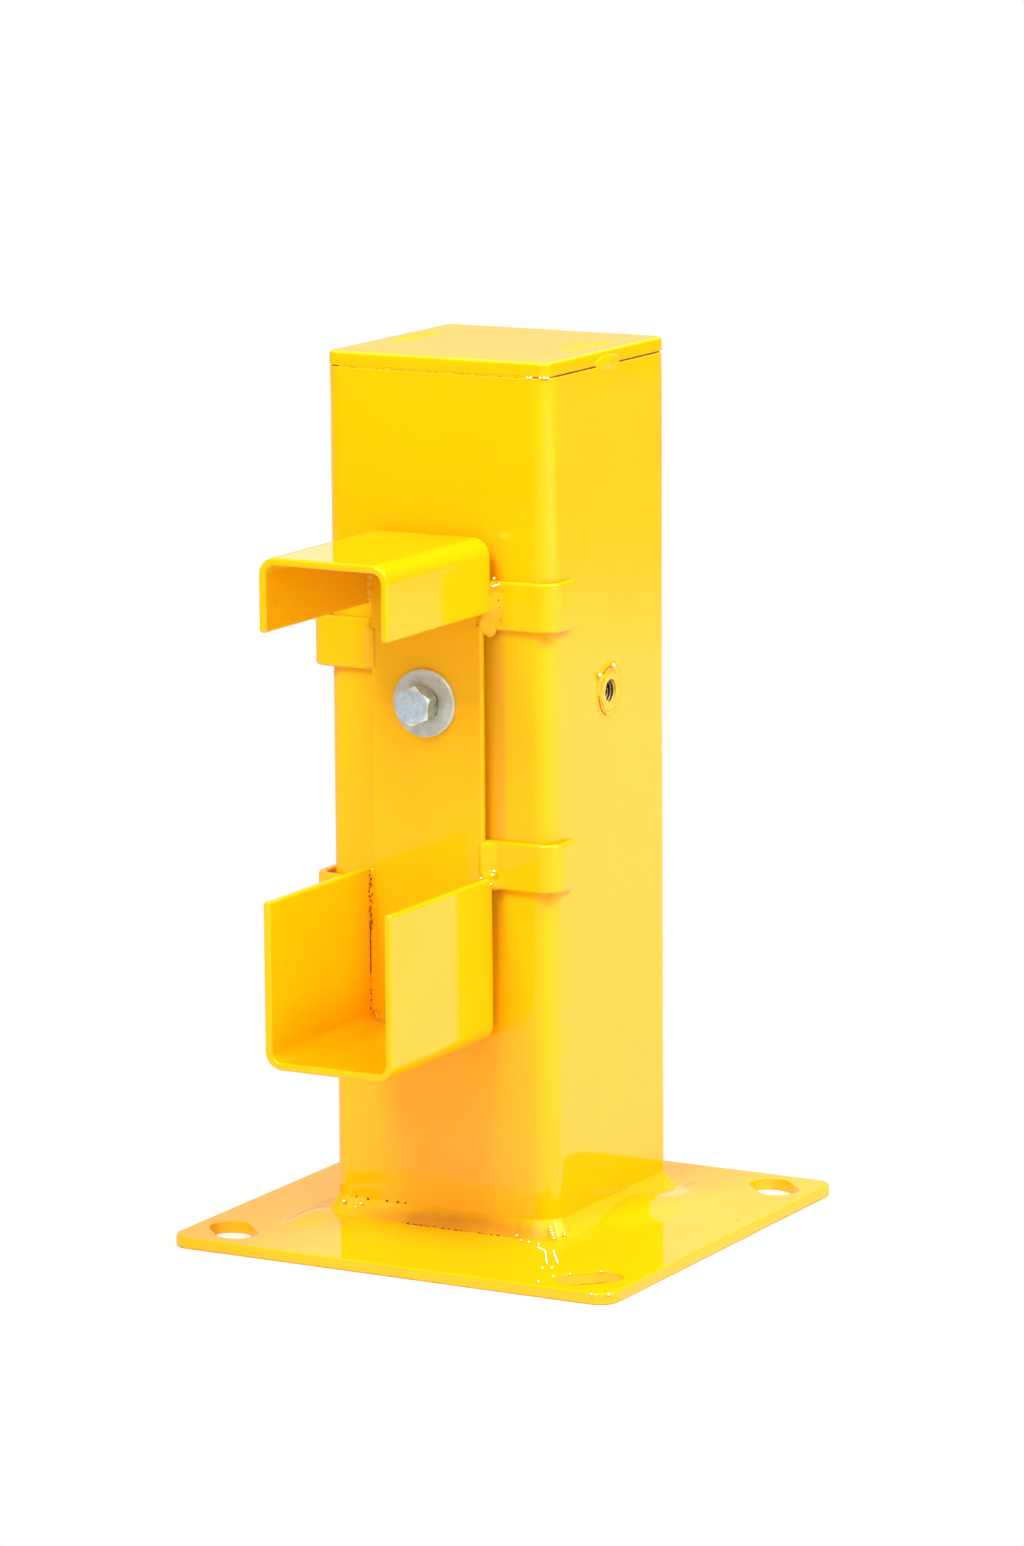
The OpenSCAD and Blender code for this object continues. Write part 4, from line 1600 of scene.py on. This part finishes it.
@dataclass
class RailBracket(Assembly):
    """The bracket: a plate with an inverted channel on top, an open channel below and four strap tabs."""

    shift: float = middle("bracket_plate").x
    plate_front: float = lowest("bracket_plate").y
    plate_back: float = highest("bracket_plate").y
    channel_front: float = lowest("upper_channel").y
    channel_back: float = highest("upper_channel").y
    low: float = lowest("lower_channel").z
    lower_top: float = highest("lower_channel").z
    upper_low: float = lowest("upper_channel").z
    top: float = highest("upper_channel").z
    bolt_side: float = middle("flat_washer").x
    bolt_height: float = middle("flat_washer").z
    thickness: float = 4 * MM
    plate_width: float = 62 * MM
    plate_corner: float = 6.5 * MM
    plate_edge: float = 1.2 * MM
    hole: float = 8.5 * MM
    channel_width: float = 71.4 * MM
    bend: float = 9 * MM
    inner_bend: float = 5 * MM
    sheet_edge: float = 1.5 * MM
    tab_lap: float = 10 * MM
    tab_bend: float = 10 * MM
    tab_corner: float = 3.0 * MM
    tab_edge: float = 1.5 * MM
    tab_lift: float = 1.1 * MM
    tab_weld: float = 6.0 * MM
    tab_weld_depth: float = 4.1 * MM
    tab_weld_tail: float = 3.0 * MM
    tab_bead: BeadStyle = BeadStyle(step=0.5, pitch=3, ripple=0.02, lump_size=6, lump=0.22, end=3)
    seam: float = 3 * MM
    seam_bead: BeadStyle = BeadStyle(step=0.6, pitch=4.0, ripple=0.12, lump_size=5, lump=0.25, end=2.5)
    drops: tuple[DropRow, ...] = (
        (36.6, -70.4, 336.4, 0.9), (36.2, -70.6, 332.4, 0.9), (37.5, -70.5, 332.8, 1.0),
        (39.0, -70.3, 333.4, 1.0), (35.2, -71.4, 189.0, 1.2), (35.9, -71.2, 190.8, 0.9),
        (34.0, -71.8, 184.2, 1.0), (31.4, -73.6, 186.0, 1.0), (29.2, -72.4, 186.8, 0.8))
    seam_pits: tuple[tuple[str, tuple[float, float], PitStyle], ...] = (
        ("dots_high", (183, 187), PitStyle(1.6, 0.8, 0.3, 0.5, 1.2, 0.2)),
        ("loops", (156, 182), PitStyle(0.5, 0.7, 0.18, 0.5, 1.6, 0.9)),
        ("line", (134, 158), PitStyle(0.45, 1.0, 0.22, 0.3, 2.2, 0.08)),
        ("dots_low", (112, 134), PitStyle(1.7, 0.6, 0.2, 0.45, 1.3, 0.3)))
    weld_pits: PitStyle = PitStyle(spacing=3, share=0.6, smallest=0.2, largest=0.5, stretch=1.2, jitter=0.6)
    coat: GlossCoat = GlossCoat("bracket_coat", marks=(
        Mark((-33.2, -162.0, 333.4), (2, 8, 4), (0.62, 0.36, 0.020), 0.35, 200.0),
        Mark((-14.2, -132.9, 108.0), (1.0, 1.0, 1.5), (0.25, 0.09, 0.01), 0.8, 300.0)))

    def build(self) -> None:
        """Builds and dresses all pieces of the bracket."""
        self.build_plate()
        self.build_channel("upper_channel", self.top, self.top - self.upper_low, False)
        self.build_channel("lower_channel", self.low, self.lower_top - self.low, True)
        for level in ("upper", "lower"):
            for side, word in ((-1, "left"), (1, "right")):
                self.build_tab(f"{level}_tab_{word}", side)
                self.build_seam(level, side, word)
                self.build_tab_weld(level, side, word)
        self.shop.dress(spatter("tab_weld_drops", drops_at(self.drops), 9), BEAD_COAT)
        self.build_pits()

    def build_plate(self) -> None:
        """Builds the flat plate with its bolt hole."""
        level = (self.low + self.top) / 2
        outline = rectangle(self.plate_width, self.top - self.low - 2 * self.thickness, self.plate_corner)
        hole = moved(circle(self.hole), (self.bolt_side - self.shift, self.bolt_height - level))
        plate = soft_solid("bracket_plate_sheet", outline, [hole], self.plate_back - self.plate_front,
                           self.plate_edge, Face.FRONT.place(-self.plate_back, level, self.shift))
        self.shop.dress(plate, self.coat, "bracket_plate")

    def build_channel(self, node: str, level: float, wall: float, open_top: bool) -> None:
        """Builds one bent channel.

        Args:
            node: its CAD node.
            level: height of the outer face of its web.
            wall: height of its walls.
            open_top: true where the walls stand up.
        """
        x, t = self.channel_width / 2, self.thickness
        soft = self.sheet_edge + 0.05 * MM
        corners = {(-x, -wall): soft, (-x + t, -wall): soft, (-x + t, -t): self.inner_bend,
                   (x - t, -t): self.inner_bend, (x - t, -wall): soft, (x, -wall): soft,
                   (x, 0): self.bend, (-x, 0): self.bend}
        loop = moved(rounded(corners, list(corners.values())), (0, 0), 180.0 if open_top else 0.0)
        channel = soft_solid(node + "_sheet", loop, [], self.channel_back - self.channel_front,
                             self.sheet_edge, Face.FRONT.place(-self.channel_back, level, self.shift),
                             steps=5)
        self.shop.dress(channel, self.coat, node)

    def build_tab(self, node: str, side: int) -> None:
        """Builds one strap that is bent round a front corner of the post.

        Args:
            node: its CAD node.
            side: 1 for the right, -1 for the left.
        """
        low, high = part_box(node)
        if node == "upper_tab_left":
            high = high + Vector((0, 0, self.tab_lift))
        t = self.thickness
        outer = high.x if side > 0 else -low.x
        start = Vector((self.plate_width / 2 - self.tab_lap + side * self.shift, low.y + t / 2))
        radius = self.tab_bend - t / 2
        bend_at = Vector((outer - self.tab_bend, low.y + self.tab_bend))
        first, second = bend_at.x - start.x, high.y - bend_at.y
        arc = radius * pi / 2
        whole = first + arc + second
        vertices: list[Vector] = []
        stations = self.stations(whole, first, arc)
        for s in stations:
            if s <= first:
                point, way = start + Vector((s, 0)), Vector((1, 0))
            elif s <= first + arc:
                angle = (s - first) / radius
                point = bend_at + radius * Vector((sin(angle), -cos(angle)))
                way = Vector((cos(angle), sin(angle)))
            else:
                point, way = bend_at + Vector((radius, s - first - arc)), Vector((0, 1))
            left = min(s, whole - s)
            thin = t / 2 - self.tab_edge + self.arc_rise(self.tab_edge, left)
            tall = (high.z - low.z) / 2 - self.tab_corner + self.arc_rise(self.tab_corner, left)
            ring = rectangle(2 * thin, 2 * tall, min(self.tab_edge, thin) - TINY, 4)
            for p, _ in ring:
                flat = point + Vector((way.y, -way.x)) * p.x
                vertices.append(Vector((side * flat.x, flat.y, (low.z + high.z) / 2 + p.y)))
        size = len(ring)
        rows = [k * size for k in range(len(stations))]
        faces = [tuple(reversed(f)) for f in ring_faces(rows, size)]
        faces += [tuple(range(size)), tuple(reversed(range(rows[-1], rows[-1] + size)))]
        if side < 0:
            faces = [tuple(reversed(f)) for f in faces]
        self.shop.dress(evened(mesh_piece(node + "_strap", vertices, faces)), self.coat, node)

    def stations(self, whole: float, first: float, arc: float) -> list[float]:
        """Gives the places along a strap where it has a section: close at its ends and in its bend.

        Args:
            whole: length of the strap along its middle.
            first: length of the straight part in front of the bend.
            arc: length of the bend.

        Returns:
            Distances from the start.
        """
        ends = [self.tab_corner * (1 - cos(pi / 2 * k / 8)) for k in range(9)]
        bend = [first + arc * k / 12 for k in range(13)]
        places = ends + bend + [whole - e for e in ends]
        return sorted(set(round(s, 7) for s in places))

    @staticmethod
    def arc_rise(radius: float, left: float) -> float:
        """Gives how far a round corner has opened at this distance from the end."""
        miss = max(0.0, radius - left)
        return sqrt(max(0.0, radius * radius - miss * miss))

    def build_seam(self, level: str, side: int, word: str) -> None:
        """Runs one seam weld in the corner between the plate and a channel's wall.

        Args:
            level: "upper" or "lower".
            side: 1 for the right, -1 for the left.
            word: name of the side.
        """
        x = self.shift + side * (self.channel_width / 2 - self.thickness)
        node = level + "_seam"
        ends = [Vector((x, self.plate_front, z)) for z in (lowest(node).z, highest(node).z)]
        section = fillet_section(self.seam - 0.9 * MM, self.seam - 1.3 * MM, bulge=-0.1 * MM,
                                 sink=0.8 * MM, steps=8)
        self.shop.bead(f"{node}_{word}_metal", ends[::-side], section, self.seam_bead, 50 + side,
                       *([node] if side < 0 else []), up=(0.0, -1.0, 0.0))

    def build_tab_weld(self, level: str, side: int, word: str) -> None:
        """Runs the weld between one tab and the edges of the plate and of a channel.

        Args:
            level: "upper" or "lower".
            side: 1 for the right, -1 for the left.
            word: name of the side.
        """
        low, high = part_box(f"{level}_tab_{word}")
        line = self.weld_line(level, low.z, high.z)
        path = [Vector((self.shift + side * x, self.plate_back, z)) for x, z in line]
        section = fillet_section(self.tab_weld_depth, self.tab_weld, bulge=-0.25 * MM, sink=2.4 * MM, steps=8)
        self.shop.bead(f"{level}_weld_{word}_metal", path[::side], section, self.tab_bead, 70 + 3 * side,
                       f"{level}_weld_{word}", up=(0.0, -1.0, 0.0))

    def weld_line(self, level: str, low: float, high: float) -> list[tuple[float, float]]:
        """Gives the line of a tab weld, which changes over from the plate's edge to the channel's wall.

        Args:
            level: "upper" or "lower".
            low: lower end of the tab.
            high: upper end of the tab.

        Returns:
            Distances from the middle and heights, from below to above.
        """
        plate, wall = self.plate_width / 2 + 0.3 * MM, self.channel_width / 2 - 0.4 * MM
        slope = 5 * MM
        if level == "upper":
            meet = self.upper_low
            if high <= meet:
                return [(plate, low + 0.5 * MM), (plate, high - 0.5 * MM)]
            return [(plate - self.tab_weld_tail, low - 0.5 * MM), (plate, low + 2 * MM),
                    (plate, meet - slope), (wall, meet + slope / 2), (wall, high)]
        meet = self.lower_top
        if high <= meet:
            return [(wall, low), (wall, high)]
        return [(wall, low), (wall, meet - slope / 2), (plate, meet + slope / 2), (plate, high)]

    def build_pits(self) -> None:
        """Adds the dark line in the left corner of the lower channel and the pits at the upper right tab."""
        x = self.shift - (self.channel_width / 2 - self.thickness) + 0.3 * MM
        y = self.plate_front - self.seam
        for seed, (word, ends, style) in enumerate(self.seam_pits, 40):
            self.shop.pit("lower_seam_" + word, [Vector((x, y, z * MM)) for z in ends], style, seed)
        x = self.shift + self.channel_width / 2 + self.tab_weld * 0.75
        path = [Vector((x, self.plate_back - 1.5 * MM, z * MM)) for z in (313, 328)]
        self.shop.pit("upper_weld_pits", path, self.weld_pits, 61)


@dataclass
class BoltSet(Assembly):
    """The bolt that holds the bracket, with its spring washer and its flat washer."""

    side: float = middle("flat_washer").x
    height: float = middle("flat_washer").z
    seat: float = -highest("flat_washer").y
    flat_front: float = -lowest("flat_washer").y
    spring_front: float = -lowest("spring_washer").y
    head_front: float = -lowest("bolt").y
    tip: float = -highest("bolt").y
    washer_radius: float = span("flat_washer").x / 2
    spring_radius: float = span("spring_washer").z / 2
    washer_edge: float = 0.7 * MM
    ring_hole: float = 7.1 * MM
    spring_cut: float = 205.0
    spring_gap: float = 6.5
    spring_lean: float = 35.0
    spring_inset: float = 1.3 * MM
    head_across: float = 18 * MM
    head_turn: float = 23.0
    head_chamfer: float = 36.0
    head_edge: float = 0.25 * MM
    bar_reach: Point = (1.6 * MM, 0.4 * MM, 0.16 * MM)
    bar_radius: float = 5.4 * MM
    bare_shank: float = 12 * MM
    thread: ThreadForm = ThreadForm(5.15 * MM, 0.42 * MM)
    head_finish: ZincPlate = ZincPlate("bolt_head_zinc", colour=(0.70, 0.86, 0.97), patch=(0.50, 0.64, 0.73),
                                       patch_scale=420.0, roughness=0.30, scratch=9e-6, metallic=0.35)
    # Painted light on one zinc head: the flanks are a darker zinc as painted shade, the chamfer a lighter
    # zinc as painted highlight.
    flank_painted_shade: ZincPlate = ZincPlate("bolt_flank_zinc", colour=(0.40, 0.43, 0.36),
                                        patch=(0.24, 0.26, 0.20), patch_scale=300.0, roughness=0.36,
                                        scratch=9e-6, metallic=0.5)
    rim_painted_highlight: ZincPlate = ZincPlate("bolt_rim_zinc", colour=(0.86, 0.90, 0.90), patch=(0.70, 0.74, 0.74),
                                      patch_scale=300.0, roughness=0.30, scratch=9e-6, metallic=0.2)
    washer_finish: ZincPlate = ZincPlate("washer_zinc", colour=(0.78, 0.84, 0.80), patch=(0.64, 0.69, 0.64))
    spring_finish: ZincPlate = ZincPlate("spring_zinc", colour=(0.50, 0.46, 0.34), patch=(0.20, 0.17, 0.10),
                                         roughness=0.35, metallic=0.7)

    def place(self, distance: float) -> Matrix:
        """Gives the matrix of a drawing on the bolt's axis, at this distance from the post's."""
        return Face.FRONT.place(distance, self.height, self.side)

    def build(self) -> None:
        """Builds and dresses the two washers and the bolt."""
        flat = soft_solid("flat_washer_plate", circle(self.washer_radius, 96), [circle(self.ring_hole, 60)],
                          self.flat_front - self.seat, self.washer_edge, self.place(self.seat), steps=4)
        self.shop.dress(flat, self.washer_finish, "flat_washer", slot=Slot.ZINC)
        self.build_spring()
        self.build_head()
        self.build_shank()

    def build_spring(self) -> None:
        """Builds the split ring, with its cut leaning along the ring."""
        depth = self.spring_front - self.flat_front
        start = radians(self.spring_cut + self.spring_gap / 2)
        sweep = radians(360 - self.spring_gap)
        outer = self.spring_radius - self.spring_inset
        outline: Loop = []
        for radius, sign, steps in ((outer, 1, range(73)), (self.ring_hole, -1, range(72, -1, -1))):
            for angle in (start + sweep * k / 72 for k in steps):
                normal = Vector((cos(angle), sin(angle)))
                outline.append((normal * radius, normal * sign))
        ring = soft_solid("spring_washer_ring", outline, [], depth, 0.3 * MM, Matrix.Identity(4), steps=2)
        slope = tan(radians(self.spring_lean)) / self.spring_radius
        for vertex in ring.data.vertices:
            vertex.co = Matrix.Rotation((vertex.co.z - depth / 2) * slope, 3, "Z") @ vertex.co
        ring.data.transform(self.place(self.flat_front))
        self.shop.dress(evened(ring), self.spring_finish, "spring_washer", slot=Slot.ZINC)

    def build_head(self) -> None:
        """Builds the head with three raised bars; its top is plain zinc, its chamfer a lighter zinc as
        painted highlight and its flanks a darker zinc as painted shade.
        """
        seat = self.place(self.spring_front)
        top = self.head_front - self.spring_front
        head = hex_solid("bolt_head", self.head_across, top, self.head_across / 2 - 0.25 * MM, 0.0, seat,
                         self.head_turn, self.head_chamfer, self.head_edge)
        self.shop.dress(head, self.head_finish, "bolt", slot=Slot.ZINC)
        head.data.materials.append(self.flank_painted_shade.material())
        head.data.materials.append(self.rim_painted_highlight.material())
        # Faces that look sideways get the painted shade, the chamfer the painted highlight, the top the plain
        # zinc.
        for side in head.data.polygons:
            front = abs(side.normal.y)
            side.material_index = 1 if front < 0.3 else (2 if front < 0.95 else 0)
        for k in range(3):
            turn = Matrix.Rotation(radians(90 + 120 * k), 4, "Z")
            place = seat @ turn @ Matrix.Translation((self.bar_radius, 0, top))
            bar = lump(f"bolt_head_bar_{k + 1}", self.bar_reach, place, bump=0.05 * MM, grain=1 * MM, seed=k,
                       square=3.0, detail=4)
            self.shop.dress(bar, self.head_finish, slot=Slot.ZINC)

    def build_shank(self) -> None:
        """Builds the shank and its thread."""
        long = self.spring_front - self.tip
        rod = soft_solid("bolt_shank", circle(self.thread.radius, 48), [], long, 0.8 * MM,
                         self.place(self.tip))
        self.shop.dress(rod, self.washer_finish, slot=Slot.ZINC)
        turns = (long - self.bare_shank) / self.thread.pitch
        self.shop.thread("bolt_thread", self.thread, turns, self.place(self.tip + 1.2 * MM),
                         self.washer_finish, slot=Slot.ZINC)


@dataclass(frozen=True)
class Lamp:
    """A soft area light, placed by its direction from the object."""

    name: str
    azimuth: float
    elevation: float
    distance: float
    width: float
    height: float
    power: float
    mirrored: bool = True

    def build(self, target: Vector) -> None:
        """Adds the light.

        Args:
            target: the point that it is turned to.
        """
        data = bpy.data.lights.new(self.name, "AREA")
        data.shape = "RECTANGLE"
        data.size = self.width
        data.size_y = self.height
        data.energy = self.power
        a, e = radians(self.azimuth), radians(self.elevation)
        back = Vector((sin(a) * cos(e), -cos(a) * cos(e), sin(e)))
        made = new_object(self.name, data)
        made.location = target + back * self.distance
        made.rotation_euler = back.to_track_quat("Z", "Y").to_euler()
        made.visible_glossy = self.mirrored


@dataclass
class Studio:
    """Camera, floor, lamps and surroundings.

    Each range is a start, an end and, where they aren't 0 and 1, the results at both.
    """

    azimuth: float = 28.82
    elevation: float = 10.73
    roll: float = 0.40
    distance: float = 3.333
    aim: Point = (-0.0145, 0.0391, 0.2169)
    lens: float = 152.5
    lamp_aim: Point = (0.0, 0.0, 0.2)
    floor_radius: float = 3.4
    floor_tone: float = 0.60
    seen_tone: float = 0.93
    bright_side: Point = (0.48, 0.877, 0.0)
    backdrop_side: Point = (-0.48, 0.877, 0.0)
    fill_side: Point = (0.66, -0.66, -0.36)
    ambient_far: float = 0.20
    ambient_near: float = 1.26
    ambient_tint: Colour = (1.0, 0.96, 0.88)
    ceiling: float = 0.42
    dark_reflection: float = 0.03
    bright_reflection: float = 1.0
    backdrop_edge: Range = (0.62, 0.88)
    backdrop_rise: Range = (0.128, 0.150, 0.42, 1.0)
    backdrop_fall: Range = (0.17, 0.23, 1.0, 0.58)
    ceiling_edge: Range = (0.55, 0.80)
    white_beside: Range = (-4 * MM, 8 * MM, 0.0, 0.90)
    white_away: Range = (0.15, 0.40, 0.0, 0.10)
    gloss_away: Range = (0.15, 0.6)
    mirror_far: Range = (-2.25, -1.5, 0.0, 0.29)
    mirror_near: Range = (-1.5, -0.1, 0.0, 0.26)
    mirror_under: Range = (-0.1, 0.3, 0.0, 0.43)
    mirror_fade: Range = (1.45, 2.4, 1.0, 0.2)
    lamps: tuple[Lamp, ...] = (
        Lamp("front_box", -5.0, 47.0, 5.0, 1.7, 1.7, 170.0),
        Lamp("right_box", 97.0, 47.0, 5.0, 1.7, 1.7, 184.0),
        Lamp("left_low_strip", -28.8, 9.43, 2.6, 1.3, 0.052, 0.52),
        Lamp("back_fill", 205.0, 32.0, 2.4, 1.0, 1.2, 16.0, False))

    def build(self) -> None:
        """Builds the whole studio."""
        self.build_camera()
        self.build_floor()
        self.build_world()
        for lamp in self.lamps:
            lamp.build(Vector(self.lamp_aim))
        bpy.context.scene.view_settings.view_transform = "Standard"

    def build_camera(self) -> None:
        """Adds the camera at the photograph's angle."""
        a, e, r = (radians(x) for x in (self.azimuth, self.elevation, self.roll))
        right = Vector((cos(a), sin(a), 0.0))
        ahead = Vector((-sin(a) * cos(e), cos(a) * cos(e), -sin(e)))
        down = ahead.cross(right)
        side = right * cos(r) + down * sin(r)
        below = down * cos(r) - right * sin(r)
        camera = new_object("camera", bpy.data.cameras.new("camera"))
        camera.data.lens = self.lens
        camera.data.sensor_width = 36.0
        camera.data.clip_start = 0.05
        turn = Matrix((side, -below, -ahead)).transposed().to_4x4()
        camera.matrix_world = Matrix.Translation(Vector(self.aim) - ahead * self.distance) @ turn
        bpy.context.scene.camera = camera

    def build_floor(self) -> None:
        """Adds a pale round floor that keeps the shadow near the object and is plain white further out."""
        disc = bmesh.new()
        bmesh.ops.create_circle(disc, cap_ends=True, segments=96, radius=self.floor_radius)
        floor = sculpted("floor", disc)
        material = bpy.data.materials.new("pale_floor")
        material.use_nodes = True
        material.node_tree.nodes.clear()
        net = Net(material.node_tree)
        place = net.add("ShaderNodeTexCoord").outputs["Object"]
        rays = net.add("ShaderNodeLightPath").outputs
        seen, glossy = rays["Is Camera Ray"], rays["Is Glossy Ray"]
        away = net.vector("LENGTH", place)
        tone = net.ramp(seen, 0.0, 1.0, self.floor_tone, self.seen_tone, smooth=False)
        colour = net.put("ShaderNodeCombineColor", {0: tone, 1: tone, 2: tone})
        pale = net.put("ShaderNodeBsdfDiffuse", {"Color": colour})
        strength = net.math("MAXIMUM", net.times(self.floor_mirror(net, place), glossy), seen)
        white = net.put("ShaderNodeEmission", {"Color": WHITE, "Strength": strength})
        clear = net.plus(net.ramp(self.beside_plate(net, place), *self.white_beside),
                         net.ramp(away, *self.white_away))
        mirrored = net.times(glossy, net.ramp(away, *self.gloss_away))
        share = net.math("MAXIMUM", net.times(clear, seen), mirrored)
        mix = net.put("ShaderNodeMixShader", {0: share, 1: pale, 2: white})
        net.add("ShaderNodeOutputMaterial", {"Surface": mix})
        floor.data.materials.append(material)

    def floor_mirror(self, net: Net, place: Socket) -> Socket:
        """Gives how bright the floor looks in the object's gloss: brighter towards the backdrop.

        Args:
            net: of the floor's material.
            place: Object coordinates.

        Returns:
            The brightness, from 0 to 1.
        """
        along = net.vector("DOT_PRODUCT", place, self.bright_side)
        near_side = net.plus(net.ramp(along, *self.mirror_far),
                             net.ramp(along, *self.mirror_near, smooth=False))
        under = net.ramp(along, *self.mirror_under)
        return net.times(net.plus(near_side, under), net.ramp(along, *self.mirror_fade))

    def beside_plate(self, net: Net, place: Socket) -> Socket:
        """Gives how far a point of the floor lies outside the base plate.

        Args:
            net: of the floor's material.
            place: Object coordinates.

        Returns:
            The distance in metres, negative under the plate.
        """
        aside = net.vector("ABSOLUTE", net.vector("SUBTRACT", place, middle("base_plate")))
        apart = net.add("ShaderNodeSeparateXYZ", {0: aside}).outputs
        return net.minus(net.math("MAXIMUM", apart["X"], apart["Y"]), span("base_plate").x / 2)

    def build_world(self) -> None:
        """Sets soft white surroundings, with a brighter backdrop side for reflections."""
        world = bpy.data.worlds.new("studio")
        bpy.context.scene.world = world
        world.use_nodes = True
        world.node_tree.nodes.clear()
        net = Net(world.node_tree)
        rays = net.add("ShaderNodeLightPath").outputs
        way = net.add("ShaderNodeTexCoord").outputs["Generated"]
        height = net.add("ShaderNodeSeparateXYZ", {0: way}).outputs["Z"]
        band = net.times(net.ramp(height, *self.backdrop_rise), net.ramp(height, *self.backdrop_fall))
        facing = net.ramp(net.vector("DOT_PRODUCT", way, self.backdrop_side), *self.backdrop_edge)
        shine = net.ramp(net.times(facing, band), 0.0, 1.0, self.dark_reflection, self.bright_reflection,
                         smooth=False)
        shine = net.math("MAXIMUM", shine, net.ramp(height, *self.ceiling_edge, 0.0, self.ceiling))
        shown = net.math("MAXIMUM", rays["Is Glossy Ray"], rays["Is Transmission Ray"])
        fill = net.ramp(net.vector("DOT_PRODUCT", way, self.fill_side), -1.0, 1.0, self.ambient_far,
                        self.ambient_near, smooth=False)
        level = net.plus(net.times(net.minus(1.0, shown), fill), net.times(shown, shine))
        strength = net.math("MAXIMUM", level, rays["Is Camera Ray"])
        seen = net.math("MAXIMUM", shown, rays["Is Camera Ray"])
        tint = net.blend(seen, (*self.ambient_tint, 1.0), WHITE)
        light = net.put("ShaderNodeBackground", {"Color": tint, "Strength": strength})
        net.add("ShaderNodeOutputWorld", {"Surface": light})


def main() -> None:
    """Builds the sub-assemblies in order, then the studio."""
    logging.basicConfig(level=logging.INFO, format="%(name)s: %(message)s")
    shop = Workshop()
    for assembly in (Post(shop), WeldNuts(shop), RailBracket(shop), BoltSet(shop)):
        assembly.build()
        LOG.info("%s is built", type(assembly).__name__)
    Studio().build()


if __name__ == "__main__":
    main()
